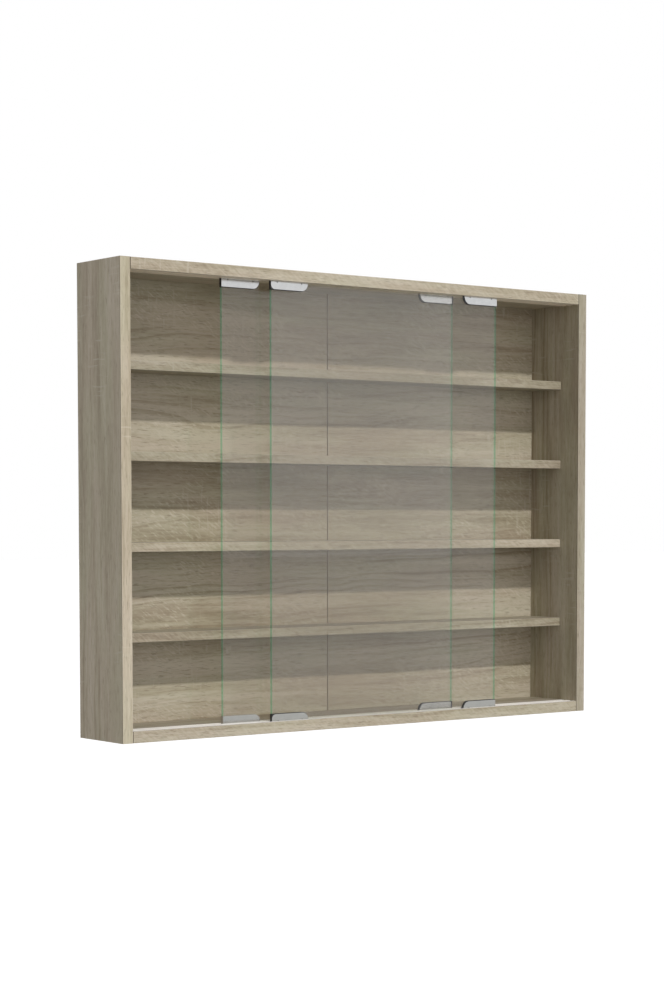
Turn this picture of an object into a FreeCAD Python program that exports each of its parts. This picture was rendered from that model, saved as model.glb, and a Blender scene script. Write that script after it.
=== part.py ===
import FreeCAD, Part
import os

import Sketcher

# A shallow wall display cabinet: a melamine-board case with four fixed shelves, a two-piece back,
# and two glass panes that slide past each other in plastic double tracks on metal shoes.
#
# Frame: +X to the right and +Z up as seen from the room, +Y into the wall. The origin lies on the
# wall plane, halfway between the entry holes of the two keyhole hanger plates.

doc = FreeCAD.newDocument("display_cabinet")

SHELF_COUNT = 4
SIDES = {"left": -1, "right": 1}

# Driving dimensions in millimetres: alias, value, what it is
SIZES = [
    # case
    ("width", 800, "outer width"),
    ("height", 612, "outer height"),
    ("depth", 105, "outer depth, front edge to wall"),
    ("board", 15, "thickness of side, top and bottom boards"),
    ("band", 1.5, "thickness of the edge band on every front edge"),
    ("band_round", 0.7, "rounding of an edge band's long front edges"),
    ("band_gap", 0.6, "gap at each end of a band that meets a side"),
    ("shelf_thick", 12, "thickness of a shelf"),
    ("shelf_setback", 37, "front of a shelf behind the front of the case"),
    # back
    ("back_thick", 3, "thickness of the back panels"),
    ("back_recess", 0.5, "back panels in front of the wall plane"),
    ("rebate_width", 9, "width of the rebate that takes the back panels"),
    ("panel_gap", 0.3, "gap between a back panel and the end of its rebate"),
    ("seam_gap", 1.4, "gap between the two back panels"),
    ("tape_width", 30, "width of the seam tape"),
    ("tape_thick", 0.15, "thickness of the seam tape"),
    # tracks
    ("track_width", 32, "width of a double track"),
    ("track_floor", 1.5, "plastic left under a groove"),
    ("groove_gap", 0.25, "gap between a shoe and each groove wall"),
    ("groove_wall", 8.3, "wall between the two grooves"),
    ("bottom_engagement", 3.2, "how deep a shoe stands in the bottom track"),
    ("top_engagement", 1.8, "how deep a shoe stands in the top track"),
    ("running_gap", 0.2, "gap under a shoe"),
    ("lift_spare", 0.8, "spare room above when a pane is lifted out"),
    # panes and shoes
    ("glass_thick", 4, "thickness of the glass"),
    ("glass_arris", 0.3, "ground arris on the glass edges"),
    ("pane_overlap", 19, "overlap of the two closed panes"),
    ("rear_pane_open", 152.9, "rear pane's edge from the left side, as photographed"),
    ("front_pane_open", 153.3, "front pane's edge from the right side, as photographed"),
    ("shoe_length", 60, "length of a shoe"),
    ("shoe_height", 12.5, "height of a shoe"),
    ("shoe_sheet", 0.4, "sheet metal of a shoe"),
    ("liner_thick", 0.2, "plastic liner between shoe and glass"),
    ("liner_lip", 0.6, "liner past the free edge of a shoe"),
    ("shoe_round", 10, "rounded inner corner of a shoe"),
    ("shoe_end_round", 6, "rounded corner at the meeting edge of a pane"),
    ("short_leg_step", 2.5, "inner leg of a meeting shoe ends this much short"),
    ("pip_radius", 0.9, "radius of the liner's locating pips"),
    ("pip_inset", 10, "pips from the ends of a shoe"),
    ("pip_rise", 3, "pips above the web of a shoe"),
    ("pip_gap", 0.05, "gap round a pip"),
    # case fittings
    ("dowel_radius", 4, "radius of a case dowel"),
    ("dowel_in_side", 10, "length of a case dowel inside a side"),
    ("dowel_in_board", 19, "length of a case dowel inside top or bottom"),
    ("dowel_gap", 0.05, "gap round any dowel"),
    ("dowel_spare", 0.8, "spare hole depth past the end of any dowel"),
    ("dowel_front", 45, "front case dowel behind the front of the case"),
    ("dowel_rear", 20, "rear case dowel in front of the wall plane"),
    ("pin_radius", 3, "radius of a shelf dowel"),
    ("pin_in_side", 9, "length of a shelf dowel inside a side"),
    ("pin_in_shelf", 15, "length of a shelf dowel inside a shelf"),
    ("pin_front", 52, "front shelf dowel behind the front of the case"),
    ("pin_rear", 19, "rear shelf dowel in front of the wall plane"),
    ("cam_radius", 7.4, "radius of a cam lock"),
    ("cam_height", 12, "height of a cam lock"),
    ("cam_gap", 0.1, "gap round and under a cam lock"),
    ("cam_distance", 24, "cam lock's axis from the side's inner face"),
    ("cam_slot_gap", 0.3, "gap round the bolt head inside a cam lock"),
    ("cross_length", 9, "length of a driver cross"),
    ("cross_width", 1.4, "width of a driver cross"),
    ("cross_depth", 2.5, "depth of a cam lock's driver cross"),
    ("bolt_thread_radius", 3, "radius of a cam bolt's thread"),
    ("bolt_thread_length", 10, "length of a cam bolt's thread"),
    ("bolt_shank_radius", 2.5, "radius of a cam bolt's shank"),
    ("bolt_head_radius", 3.5, "radius of a cam bolt's head"),
    ("bolt_head_length", 3, "length of a cam bolt's head"),
    ("bolt_gap", 0.5, "gap round a bolt's head in the board"),
    ("nail_radius", 0.7, "radius of a back nail"),
    ("nail_length", 20, "length of a back nail"),
    ("nail_head_radius", 1.6, "radius of a back nail's head"),
    ("nail_head_thick", 0.4, "thickness of a back nail's head"),
    ("nail_gap", 0.05, "gap round a back nail"),
    ("nail_margin", 40, "first and last nail of a row from the row's ends"),
    # wall hangers
    ("hang_drop", 46, "keyhole entries below the top of the case"),
    ("plate_width", 11, "width of a hanger plate"),
    ("plate_height", 60, "height of a hanger plate"),
    ("plate_thick", 2, "thickness of a hanger plate"),
    ("plate_gap", 0.2, "gap round a hanger plate"),
    ("plate_margin", 10, "unrebated edge below a hanger plate"),
    ("entry_radius", 4.25, "radius of a keyhole's entry"),
    ("slot_radius", 2.2, "half width of a keyhole's slot"),
    ("slot_rise", 12, "rise of a keyhole's slot above its entry"),
    ("pocket_depth", 10, "depth of the pocket for the wall screw's head"),
    ("pocket_gap", 0.5, "pocket wider than the keyhole's entry, each side"),
    ("screw_spacing", 46, "distance between a plate's two screws"),
    ("screw_radius", 1.75, "radius of a plate screw"),
    ("screw_head_radius", 3.5, "radius of a plate screw's head"),
    ("screw_length", 20, "length of a plate screw"),
    ("screw_gap", 0.1, "gap round a plate screw"),
    ("screw_cross_length", 4, "length of a plate screw's driver cross"),
    ("screw_cross_width", 0.8, "width of a plate screw's driver cross"),
    ("screw_cross_depth", 1.2, "depth of a plate screw's driver cross"),
]

sheet = doc.addObject("Spreadsheet::Sheet", "dims")
for row, (alias, value, meaning) in enumerate(SIZES, start=1):
    sheet.set(f"A{row}", meaning)
    sheet.set(f"B{row}", str(value))
    sheet.setAlias(f"B{row}", alias)
doc.recompute()

# Places and sizes that several pieces share
TOP = "dims.hang_drop"
BOTTOM = "(dims.hang_drop - dims.height)"
FLOOR = "(dims.hang_drop - dims.height + dims.board)"
CEILING = "(dims.hang_drop - dims.board)"
CORE_FRONT = "(dims.band - dims.depth)"
INNER_WIDTH = "(dims.width - 2 * dims.board)"
INNER_HEIGHT = "(dims.height - 2 * dims.board)"
INNER_LEFT = "(dims.board - dims.width / 2)"
INNER_RIGHT = "(dims.width / 2 - dims.board)"
REBATE_DEPTH = "(dims.back_thick + dims.back_recess)"
PANEL_FRONT = "(-dims.back_thick - dims.back_recess)"
PLATE_MIDDLE = "(dims.slot_rise / 2)"
HANGER_ZONE = f"({PLATE_MIDDLE} - dims.plate_height / 2 - dims.plate_margin)"
SHOE_THICK = "(dims.glass_thick + 2 * dims.liner_thick + 2 * dims.shoe_sheet)"
GROOVE_WIDTH = f"({SHOE_THICK} + 2 * dims.groove_gap)"
GROOVE_PITCH = f"({GROOVE_WIDTH} + dims.groove_wall)"
BOTTOM_GROOVE = "(dims.bottom_engagement + dims.running_gap)"
TOP_GROOVE = "(dims.top_engagement + dims.bottom_engagement + dims.lift_spare)"
BOTTOM_TRACK = f"({BOTTOM_GROOVE} + dims.track_floor)"
TOP_TRACK = f"({TOP_GROOVE} + dims.track_floor)"
TRACK_MIDDLE = f"({CORE_FRONT} + dims.track_width / 2)"
PANE_MIDDLE = {
    "front": f"({TRACK_MIDDLE} - {GROOVE_PITCH} / 2)",
    "rear": f"({TRACK_MIDDLE} + {GROOVE_PITCH} / 2)",
}
PANE_WIDTH = f"(({INNER_WIDTH} + dims.pane_overlap) / 2)"
PANE_LEFT = {
    "front": f"({INNER_RIGHT} - dims.front_pane_open - {PANE_WIDTH})",
    "rear": f"({INNER_LEFT} + dims.rear_pane_open)",
}
SHOE_FOOT = f"({FLOOR} - dims.bottom_engagement)"
SHOE_HEAD = f"({CEILING} + dims.top_engagement)"
WEB = "(dims.shoe_sheet + dims.liner_thick)"
GLASS_FOOT = f"({SHOE_FOOT} + {WEB})"
GLASS_HEIGHT = f"({SHOE_HEAD} - {SHOE_FOOT} - 2 * {WEB})"

# Turns that lay a cylinder or cone, made along +Z, along another axis
ALONG = {
    "+x": FreeCAD.Rotation(FreeCAD.Vector(0, 1, 0), 90),
    "+y": FreeCAD.Rotation(FreeCAD.Vector(1, 0, 0), -90),
    "-y": FreeCAD.Rotation(FreeCAD.Vector(1, 0, 0), 90),
    "+z": FreeCAD.Rotation(),
}

pieces = []


def value(expression):
    """The number that an expression on the sheet gives now."""
    return float(sheet.evalExpression(expression))


def place(thing, at, turn="+z"):
    """Bind an object's place to expressions for x, y and z."""
    thing.Placement = FreeCAD.Placement(FreeCAD.Vector(), ALONG[turn])
    for axis, expression in zip("xyz", at):
        thing.setExpression(f"Placement.Base.{axis}", expression)
    return thing


def box(name, size, at):
    thing = doc.addObject("Part::Box", name)
    for side, expression in zip(("Length", "Width", "Height"), size):
        thing.setExpression(side, expression)
    return place(thing, at)


def rod(name, radius, length, at, turn):
    thing = doc.addObject("Part::Cylinder", name)
    thing.setExpression("Radius", radius)
    thing.setExpression("Height", length)
    return place(thing, at, turn)


def taper(name, radius, end_radius, length, at, turn):
    thing = doc.addObject("Part::Cone", name)
    thing.setExpression("Radius1", radius)
    thing.setExpression("Radius2", end_radius)
    thing.setExpression("Height", length)
    return place(thing, at, turn)


def fuse(name, things):
    thing = doc.addObject("Part::MultiFuse", name)
    thing.Shapes = things
    return thing


def cut(name, base, tools):
    thing = doc.addObject("Part::Cut", name)
    thing.Base = base
    thing.Tool = tools[0] if len(tools) == 1 else fuse(f"{name}_tools", tools)
    return thing


def group(name, things):
    thing = doc.addObject("Part::Compound", name)
    thing.Links = things
    return thing


def piece(thing, label):
    """Keep an object as one sub-part, under its own name."""
    thing.Label = label
    pieces.append(thing)
    return thing


def outline_body(name, role, corners, length, at):
    """A body padded from a closed outline of straight edges, every corner bound to the sheet."""
    body = doc.addObject("PartDesign::Body", name)
    sketch = body.newObject("Sketcher::SketchObject", f"{name}_outline")
    plane = [feature for feature in body.Origin.OriginFeatures if feature.Role == role][0]
    sketch.AttachmentSupport = [(plane, "")]
    sketch.MapMode = "FlatFace"
    points = [FreeCAD.Vector(value(x), value(y), 0) for x, y in corners]
    for index, point in enumerate(points):
        following = points[(index + 1) % len(points)]
        sketch.addGeometry(Part.LineSegment(point, following), False)
    for index in range(len(points)):
        following = (index + 1) % len(points)
        sketch.addConstraint(Sketcher.Constraint("Coincident", index, 2, following, 1))
    for index, corner in enumerate(corners):
        for kind, expression in zip(("DistanceX", "DistanceY"), corner):
            bound = Sketcher.Constraint(kind, -1, 1, index, 1, value(expression))
            sketch.setExpression(f"Constraints[{sketch.addConstraint(bound)}]", expression)
    pad = body.newObject("PartDesign::Pad", f"{name}_pad")
    pad.Profile = sketch
    pad.setExpression("Length", length)
    sketch.Visibility = False
    doc.recompute()
    return place(body, at), pad


def edge_names(pad, wanted):
    """Names of a pad's edges whose two ends and middle all pass the test."""
    names = []
    for index, edge in enumerate(pad.Shape.Edges, start=1):
        spots = [vertex.Point for vertex in edge.Vertexes] + [edge.CenterOfMass]
        if all(wanted(spot) for spot in spots):
            names.append(f"Edge{index}")
    return names


def into_side(sign, outward, inward):
    """Lowest X of something that crosses a side's inner face."""
    if sign < 0:
        return f"({INNER_LEFT} - ({outward}))"
    return f"({INNER_RIGHT} - ({inward}))"


def shelf_middle(number):
    """Z of a shelf's mid-thickness: the shelves stand at equal steps of the inner height."""
    return f"({FLOOR} + {INNER_HEIGHT} * {number} / {SHELF_COUNT + 1})"


def end_joint(sign, outward, inward, radius, spare, y, z, name):
    """A round bar across the joint between a side and a board's end, longer by a spare at each end."""
    outer = f"{outward} + {spare}"
    inner = f"{inward} + {spare}"
    at = (into_side(sign, outer, inner), y, z)
    return rod(name, radius, f"{outer} + {inner}", at, "+x")


BOARD_MIDDLE = {"bottom": f"({BOTTOM} + dims.board / 2)", "top": f"({TOP} - dims.board / 2)"}
DOWEL_ROWS = ("(dims.dowel_front - dims.depth)", "(-dims.dowel_rear)")
PIN_ROWS = ("(dims.pin_front - dims.depth)", "(-dims.pin_rear)")
CAM_ROW = f"(({DOWEL_ROWS[0]} + {DOWEL_ROWS[1]}) / 2)"


def case_dowel(sign, level, row, hole):
    """A case dowel, or the hole that takes it."""
    radius = "dims.dowel_radius + dims.dowel_gap" if hole else "dims.dowel_radius"
    spare = "dims.dowel_spare" if hole else "0"
    name = "dowel_hole" if hole else "dowel"
    return end_joint(sign, "dims.dowel_in_side", "dims.dowel_in_board", radius, spare,
                     row, BOARD_MIDDLE[level], name)


def shelf_pin(sign, number, row, hole):
    """A shelf dowel, or the hole that takes it."""
    radius = "dims.pin_radius + dims.dowel_gap" if hole else "dims.pin_radius"
    spare = "dims.dowel_spare" if hole else "0"
    name = "pin_hole" if hole else "pin"
    return end_joint(sign, "dims.pin_in_side", "dims.pin_in_shelf", radius, spare,
                     row, shelf_middle(number), name)


# Cam fittings: a bolt screwed into the side, drawn in by a cam in the top or bottom board

def cam_axis(sign):
    return f"({sign} * ({INNER_WIDTH} / 2 - dims.cam_distance))"


def cam_foot(level, height):
    """Lowest Z of something of this height, let in from the outer face of the top or bottom board."""
    return f"({TOP} - ({height}))" if level == "top" else BOTTOM


def cam_bolt(sign, level):
    """Thread in the side, shank across the joint and a head inside the cam."""
    y = CAM_ROW
    z = BOARD_MIDDLE[level]
    head_start = "(dims.cam_distance - dims.bolt_head_length / 2)"
    head_end = f"({head_start} + dims.bolt_head_length)"
    thread = rod("bolt_thread", "dims.bolt_thread_radius", "dims.bolt_thread_length",
                 (into_side(sign, "dims.bolt_thread_length", "0"), y, z), "+x")
    shank = rod("bolt_shank", "dims.bolt_shank_radius", head_start,
                (into_side(sign, "0", head_start), y, z), "+x")
    head = rod("bolt_head", "dims.bolt_head_radius", "dims.bolt_head_length",
               (into_side(sign, f"-{head_start}", head_end), y, z), "+x")
    return fuse("cam_bolt", [thread, shank, head])


def bolt_thread_hole(sign, level):
    return rod("thread_hole", "dims.bolt_thread_radius + dims.dowel_gap",
               "dims.bolt_thread_length + dims.dowel_spare",
               (into_side(sign, "dims.bolt_thread_length + dims.dowel_spare", "0"),
                CAM_ROW, BOARD_MIDDLE[level]), "+x")


def bolt_channel(sign, level):
    """The bore from a board's end to its cam."""
    return rod("bolt_channel", "dims.bolt_head_radius + dims.bolt_gap", "dims.cam_distance",
               (into_side(sign, "0", "dims.cam_distance"), CAM_ROW,
                BOARD_MIDDLE[level]), "+x")


def cam_pocket(sign, level):
    height = "dims.cam_height + dims.cam_gap"
    return rod("cam_pocket", "dims.cam_radius + dims.cam_gap", height,
               (cam_axis(sign), CAM_ROW, cam_foot(level, height)), "+z")


def driver_cross(name, length, width, depth, at, facing):
    """Two crossed bars, the recess for a driver, starting at a point and sunk along one axis."""
    x, y, z = at
    bars = []
    for across, along in ((length, width), (width, length)):
        if facing == "z":
            size = (across, along, depth)
            corner = (f"{x} - {across} / 2", f"{y} - {along} / 2", z)
        else:
            size = (across, depth, along)
            corner = (f"{x} - {across} / 2", y, f"{z} - {along} / 2")
        bars.append(box(f"{name}_bar", size, corner))
    return bars


def cam_lock(sign, level):
    """A round cam with a slot for the bolt's head and a driver cross on its outer face."""
    x = cam_axis(sign)
    y = CAM_ROW
    body = rod("cam_body", "dims.cam_radius", "dims.cam_height",
               (x, y, cam_foot(level, "dims.cam_height")), "+z")
    slot_half = "(dims.bolt_head_radius + dims.cam_slot_gap)"
    slot_length = f"(dims.cam_radius + {slot_half})"
    slot_start = f"{x} - dims.cam_radius" if sign < 0 else f"{x} - {slot_half}"
    slot = box("cam_slot", (slot_length, f"2 * {slot_half}", f"2 * {slot_half}"),
               (slot_start, f"{y} - {slot_half}", f"{BOARD_MIDDLE[level]} - {slot_half}"))
    cross_foot = f"{TOP} - dims.cross_depth" if level == "top" else BOTTOM
    bars = driver_cross("cam_cross", "dims.cross_length", "dims.cross_width", "dims.cross_depth",
                        (x, y, cross_foot), "z")
    return cut("cam_lock", body, [slot] + bars)


# Back nails: rows along the case's rebates and along each shelf

def nail_places():
    """X and Z of every nail, for each board that the nails hold."""
    rows = {name: [] for name in ("left_side", "right_side", "top_board", "bottom_board")}
    side_low = f"({FLOOR} + dims.nail_margin)"
    side_high = f"({HANGER_ZONE} - dims.nail_margin)"
    side_steps = 3
    for name, sign in SIDES.items():
        x = f"({sign} * ({INNER_WIDTH} / 2 + dims.rebate_width / 2))"
        for step in range(side_steps + 1):
            z = f"({side_low} + ({side_high} - {side_low}) * {step} / {side_steps})"
            rows[f"{name}_side"].append((x, z))
    half = f"({INNER_WIDTH} / 2)"
    long_steps = 2
    for name, z in (("top_board", f"({CEILING} + dims.rebate_width / 2)"),
                    ("bottom_board", f"({FLOOR} - dims.rebate_width / 2)")):
        for sign in SIDES.values():
            for step in range(long_steps + 1):
                reach = f"({half} - 2 * dims.nail_margin)"
                x = f"({sign} * (dims.nail_margin + {reach} * {step} / {long_steps}))"
                rows[name].append((x, z))
    for number in range(1, SHELF_COUNT + 1):
        rows[f"shelf_{number}"] = [(f"({sign} * {half} / 2)", shelf_middle(number))
                                   for sign in SIDES.values()]
    return rows


NAILS = nail_places()


def nail_hole(x, z):
    return rod("nail_hole", "dims.nail_radius + dims.nail_gap",
               "dims.nail_length + dims.back_recess + dims.nail_gap", (x, "0", z), "-y")


def nail(x, z):
    shank = rod("nail_shank", "dims.nail_radius", "dims.nail_length", (x, "-dims.back_recess", z), "-y")
    head = rod("nail_head", "dims.nail_head_radius", "dims.nail_head_thick",
               (x, "-dims.back_recess", z), "+y")
    return fuse("nail", [shank, head])


# Wall hangers: keyhole plates let into the rear edges of the sides

def side_middle(sign):
    """X of the mid-thickness of a side."""
    return f"({sign} * (dims.width - dims.board) / 2)"


def plate_screw_heights():
    return [f"({PLATE_MIDDLE} + {way} * dims.screw_spacing / 2)" for way in (-1, 1)]


def hanger_cuts(sign):
    """The recess for a plate, the pocket behind its keyhole and the holes for its screws."""
    x = side_middle(sign)
    width = "(dims.plate_width + 2 * dims.plate_gap)"
    height = "(dims.plate_height + 2 * dims.plate_gap)"
    recess = box("plate_recess", (width, "dims.plate_thick", height),
                 (f"{x} - {width} / 2", "-dims.plate_thick", f"{PLATE_MIDDLE} - {height} / 2"))
    half = "(dims.entry_radius + dims.pocket_gap)"
    reach = "(dims.plate_thick + dims.pocket_depth)"
    pocket = box("head_pocket", (f"2 * {half}", reach, f"dims.slot_rise + 2 * {half}"),
                 (f"{x} - {half}", f"-{reach}", f"-{half}"))
    holes = [rod("plate_screw_hole", "dims.screw_radius + dims.screw_gap",
                 "dims.screw_length + dims.screw_gap", (x, "0", z), "-y")
             for z in plate_screw_heights()]
    return [recess, pocket] + holes


def countersink(radius_gap):
    """Depth of a right-angled screw head, and its two radii with a gap."""
    head = f"(dims.screw_head_radius + {radius_gap})"
    shank = f"(dims.screw_radius + {radius_gap})"
    return head, shank, "(dims.screw_head_radius - dims.screw_radius)"


def hanger_plate(sign, label):
    """A flat plate with a keyhole in the middle and a countersunk hole near each end."""
    x = side_middle(sign)
    plate = box(f"{label}_blank", ("dims.plate_width", "dims.plate_thick", "dims.plate_height"),
                (f"{x} - dims.plate_width / 2", "-dims.plate_thick",
                 f"{PLATE_MIDDLE} - dims.plate_height / 2"))
    thick = "dims.plate_thick"
    entry = rod("keyhole_entry", "dims.entry_radius", thick, (x, "0", "0"), "-y")
    slot_end = rod("keyhole_end", "dims.slot_radius", thick, (x, "0", "dims.slot_rise"), "-y")
    slot = box("keyhole_slot", ("2 * dims.slot_radius", thick, "dims.slot_rise"),
               (f"{x} - dims.slot_radius", f"-{thick}", "0"))
    cuts = [entry, slot_end, slot]
    head, shank, depth = countersink("dims.screw_gap")
    for z in plate_screw_heights():
        cuts.append(rod("plate_hole", shank, thick, (x, "0", z), "-y"))
        cuts.append(taper("plate_sink", head, shank, depth, (x, "0", z), "-y"))
    return piece(cut(label + "_shape", plate, cuts), label)


def hanger_screw(sign, z):
    x = side_middle(sign)
    head, shank, depth = countersink("0")
    parts = [rod("plate_screw_shank", shank, "dims.screw_length", (x, "0", z), "-y"),
             taper("plate_screw_head", head, shank, depth, (x, "0", z), "-y")]
    bars = driver_cross("screw_cross", "dims.screw_cross_length", "dims.screw_cross_width",
                        "dims.screw_cross_depth", (x, "-dims.screw_cross_depth", z), "y")
    return cut("plate_screw", fuse("plate_screw_blank", parts), bars)


# Case boards

def side_board(name, sign):
    """A full-height side: rear rebate, hanger recess and the holes for every fitting in it."""
    outer = f"{sign} * (dims.width - dims.board) / 2 - dims.board / 2"
    core = box(f"{name}_core", ("dims.board", "dims.depth - dims.band", "dims.height"),
               (outer, CORE_FRONT, BOTTOM))
    foot = f"({FLOOR} - dims.rebate_width)"
    rebate_x = into_side(sign, "dims.rebate_width", "0")
    rebate = box("side_rebate", ("dims.rebate_width", REBATE_DEPTH, f"{HANGER_ZONE} - {foot}"),
                 (rebate_x, f"-{REBATE_DEPTH}", foot))
    cuts = [rebate] + hanger_cuts(sign)
    for level in BOARD_MIDDLE:
        cuts += [case_dowel(sign, level, row, True) for row in DOWEL_ROWS]
        cuts.append(bolt_thread_hole(sign, level))
    for number in range(1, SHELF_COUNT + 1):
        cuts += [shelf_pin(sign, number, row, True) for row in PIN_ROWS]
    cuts += [nail_hole(x, z) for x, z in NAILS[f"{name}_side"]]
    return piece(cut(f"{name}_side_shape", core, cuts), f"{name}_side")


def end_board(level):
    """The top or bottom board: track rebate in front, back rebate behind, fittings in its ends."""
    is_top = level == "top"
    track = TOP_TRACK if is_top else BOTTOM_TRACK
    core = box(f"{level}_core", (INNER_WIDTH, "dims.depth - dims.band", "dims.board"),
               (INNER_LEFT, CORE_FRONT, CEILING if is_top else BOTTOM))
    track_foot = CEILING if is_top else f"{FLOOR} - {track}"
    back_foot = CEILING if is_top else f"{FLOOR} - dims.rebate_width"
    cuts = [
        box("track_rebate", (INNER_WIDTH, "dims.track_width", track), (INNER_LEFT, CORE_FRONT, track_foot)),
        box("back_rebate", (INNER_WIDTH, REBATE_DEPTH, "dims.rebate_width"),
            (INNER_LEFT, f"-{REBATE_DEPTH}", back_foot)),
    ]
    for sign in SIDES.values():
        cuts += [case_dowel(sign, level, row, True) for row in DOWEL_ROWS]
        cuts += [bolt_channel(sign, level), cam_pocket(sign, level)]
    cuts += [nail_hole(x, z) for x, z in NAILS[f"{level}_board"]]
    return piece(cut(f"{level}_board_shape", core, cuts), f"{level}_board")


def shelf(number):
    """A fixed shelf that stops behind the sliding panes and touches the back."""
    depth = f"(dims.depth - dims.shelf_setback - dims.band - {REBATE_DEPTH})"
    core = box(f"shelf_{number}_core", (INNER_WIDTH, depth, "dims.shelf_thick"),
               (INNER_LEFT, f"{PANEL_FRONT} - {depth}", f"{shelf_middle(number)} - dims.shelf_thick / 2"))
    cuts = [shelf_pin(sign, number, row, True) for sign in SIDES.values() for row in PIN_ROWS]
    cuts += [nail_hole(x, z) for x, z in NAILS[f"shelf_{number}"]]
    return piece(cut(f"shelf_{number}_shape", core, cuts), f"shelf_{number}")


def edge_band(label, size, at):
    """A glued band on a front edge, with its long front edges rounded."""
    length, height = size
    corners = [("0", "0"), (length, "0"), (length, height), ("0", height)]
    body, pad = outline_body(label, "XZ_Plane", corners, "dims.band", at)
    front = value("-dims.band")
    low, high = 0, value(height)
    left, right = 0, value(length)
    slack = 1e-6

    def on_long_front(spot):
        if abs(spot.y - front) > slack:
            return False
        if right - left > high - low:
            return min(abs(spot.z - low), abs(spot.z - high)) < slack
        return min(abs(spot.x - left), abs(spot.x - right)) < slack

    rounded = body.newObject("PartDesign::Fillet", f"{label}_round")
    rounded.Base = (pad, edge_names(pad, on_long_front))
    rounded.setExpression("Radius", "dims.band_round")
    body.Tip = rounded
    return piece(body, label)


def back_panel(name, sign):
    """Half of the back, nailed into the rebates, with a corner cut out round the hanger."""
    outer = f"({INNER_WIDTH} / 2 + dims.rebate_width - dims.panel_gap)"
    width = f"({outer} - dims.seam_gap / 2)"
    foot = f"({FLOOR} - dims.rebate_width + dims.panel_gap)"
    head = f"({CEILING} + dims.rebate_width - dims.panel_gap)"
    left = f"-{outer}" if sign < 0 else "dims.seam_gap / 2"
    sheet_box = box(f"{name}_panel_blank", (width, "dims.back_thick", f"{head} - {foot}"),
                    (left, PANEL_FRONT, foot))
    notch_foot = f"({HANGER_ZONE} - dims.panel_gap)"
    notch = box("hanger_notch", ("dims.rebate_width", "dims.back_thick", f"{head} - {notch_foot}"),
                (into_side(sign, "dims.rebate_width - dims.panel_gap", "dims.panel_gap"),
                 PANEL_FRONT, notch_foot))
    cuts = [notch]
    for row in NAILS.values():
        for x, z in row:
            if value(x) * sign > 0:
                cuts.append(nail_hole(x, z))
    return piece(cut(f"{name}_panel_shape", sheet_box, cuts), f"back_panel_{name}")


def seam_tape():
    """Tape across the rear of the seam, on which the two back panels fold."""
    foot = f"({FLOOR} - dims.rebate_width + dims.panel_gap)"
    head = f"({CEILING} + dims.rebate_width - dims.panel_gap)"
    tape = box("tape", ("dims.tape_width", "dims.tape_thick", f"{head} - {foot}"),
               ("-dims.tape_width / 2", "-dims.back_recess", foot))
    return piece(tape, "back_seam_tape")


# Tracks, panes and shoes

def track(level):
    """An extruded double track: two grooves, open towards the panes."""
    is_top = level == "top"
    height = TOP_TRACK if is_top else BOTTOM_TRACK
    depth = TOP_GROOVE if is_top else BOTTOM_GROOVE
    mouth = "0" if is_top else height
    root = depth if is_top else f"({height} - {depth})"
    outer = height if is_top else "0"
    middle = "(dims.track_width / 2)"
    first = f"({middle} - {GROOVE_PITCH} / 2 - {GROOVE_WIDTH} / 2)"
    second = f"({middle} + {GROOVE_PITCH} / 2 - {GROOVE_WIDTH} / 2)"
    corners = [("0", outer), ("0", mouth)]
    for start in (first, second):
        end = f"({start} + {GROOVE_WIDTH})"
        corners += [(start, mouth), (start, root), (end, root), (end, mouth)]
    corners += [("dims.track_width", mouth), ("dims.track_width", outer)]
    foot = CEILING if is_top else f"{FLOOR} - {height}"
    body, _ = outline_body(f"{level}_track", "YZ_Plane", corners, INNER_WIDTH,
                           (INNER_LEFT, CORE_FRONT, foot))
    return piece(body, f"{level}_track")


def pane(name):
    """A sheet of glass with ground edges, held at its four corners by shoes."""
    corners = [("0", "0"), (PANE_WIDTH, "0"), (PANE_WIDTH, GLASS_HEIGHT), ("0", GLASS_HEIGHT)]
    at = (PANE_LEFT[name], f"{PANE_MIDDLE[name]} + dims.glass_thick / 2", GLASS_FOOT)
    body, pad = outline_body(f"{name}_pane_glass", "XZ_Plane", corners, "dims.glass_thick", at)
    arris = body.newObject("PartDesign::Chamfer", f"{name}_pane_arris")
    arris.Base = (pad, edge_names(pad, lambda spot: True))
    arris.setExpression("Size", "dims.glass_arris")
    body.Tip = arris
    return piece(body, f"{name}_pane_glass")


def corner_waste(x, z, radius, to_right, upwards, y, depth):
    """What a rounding takes off the corner at x, z of something seen from the front."""
    left = f"{x} - {radius}" if to_right else x
    foot = f"{z} - {radius}" if upwards else z
    axis_x = left if to_right else f"{x} + {radius}"
    axis_z = foot if upwards else f"{z} + {radius}"
    block = box("corner_block", (radius, depth, radius), (left, y, foot))
    keep = rod("corner_keep", radius, depth, (axis_x, y, axis_z), "+y")
    return cut("corner_waste", block, [keep])


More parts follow.
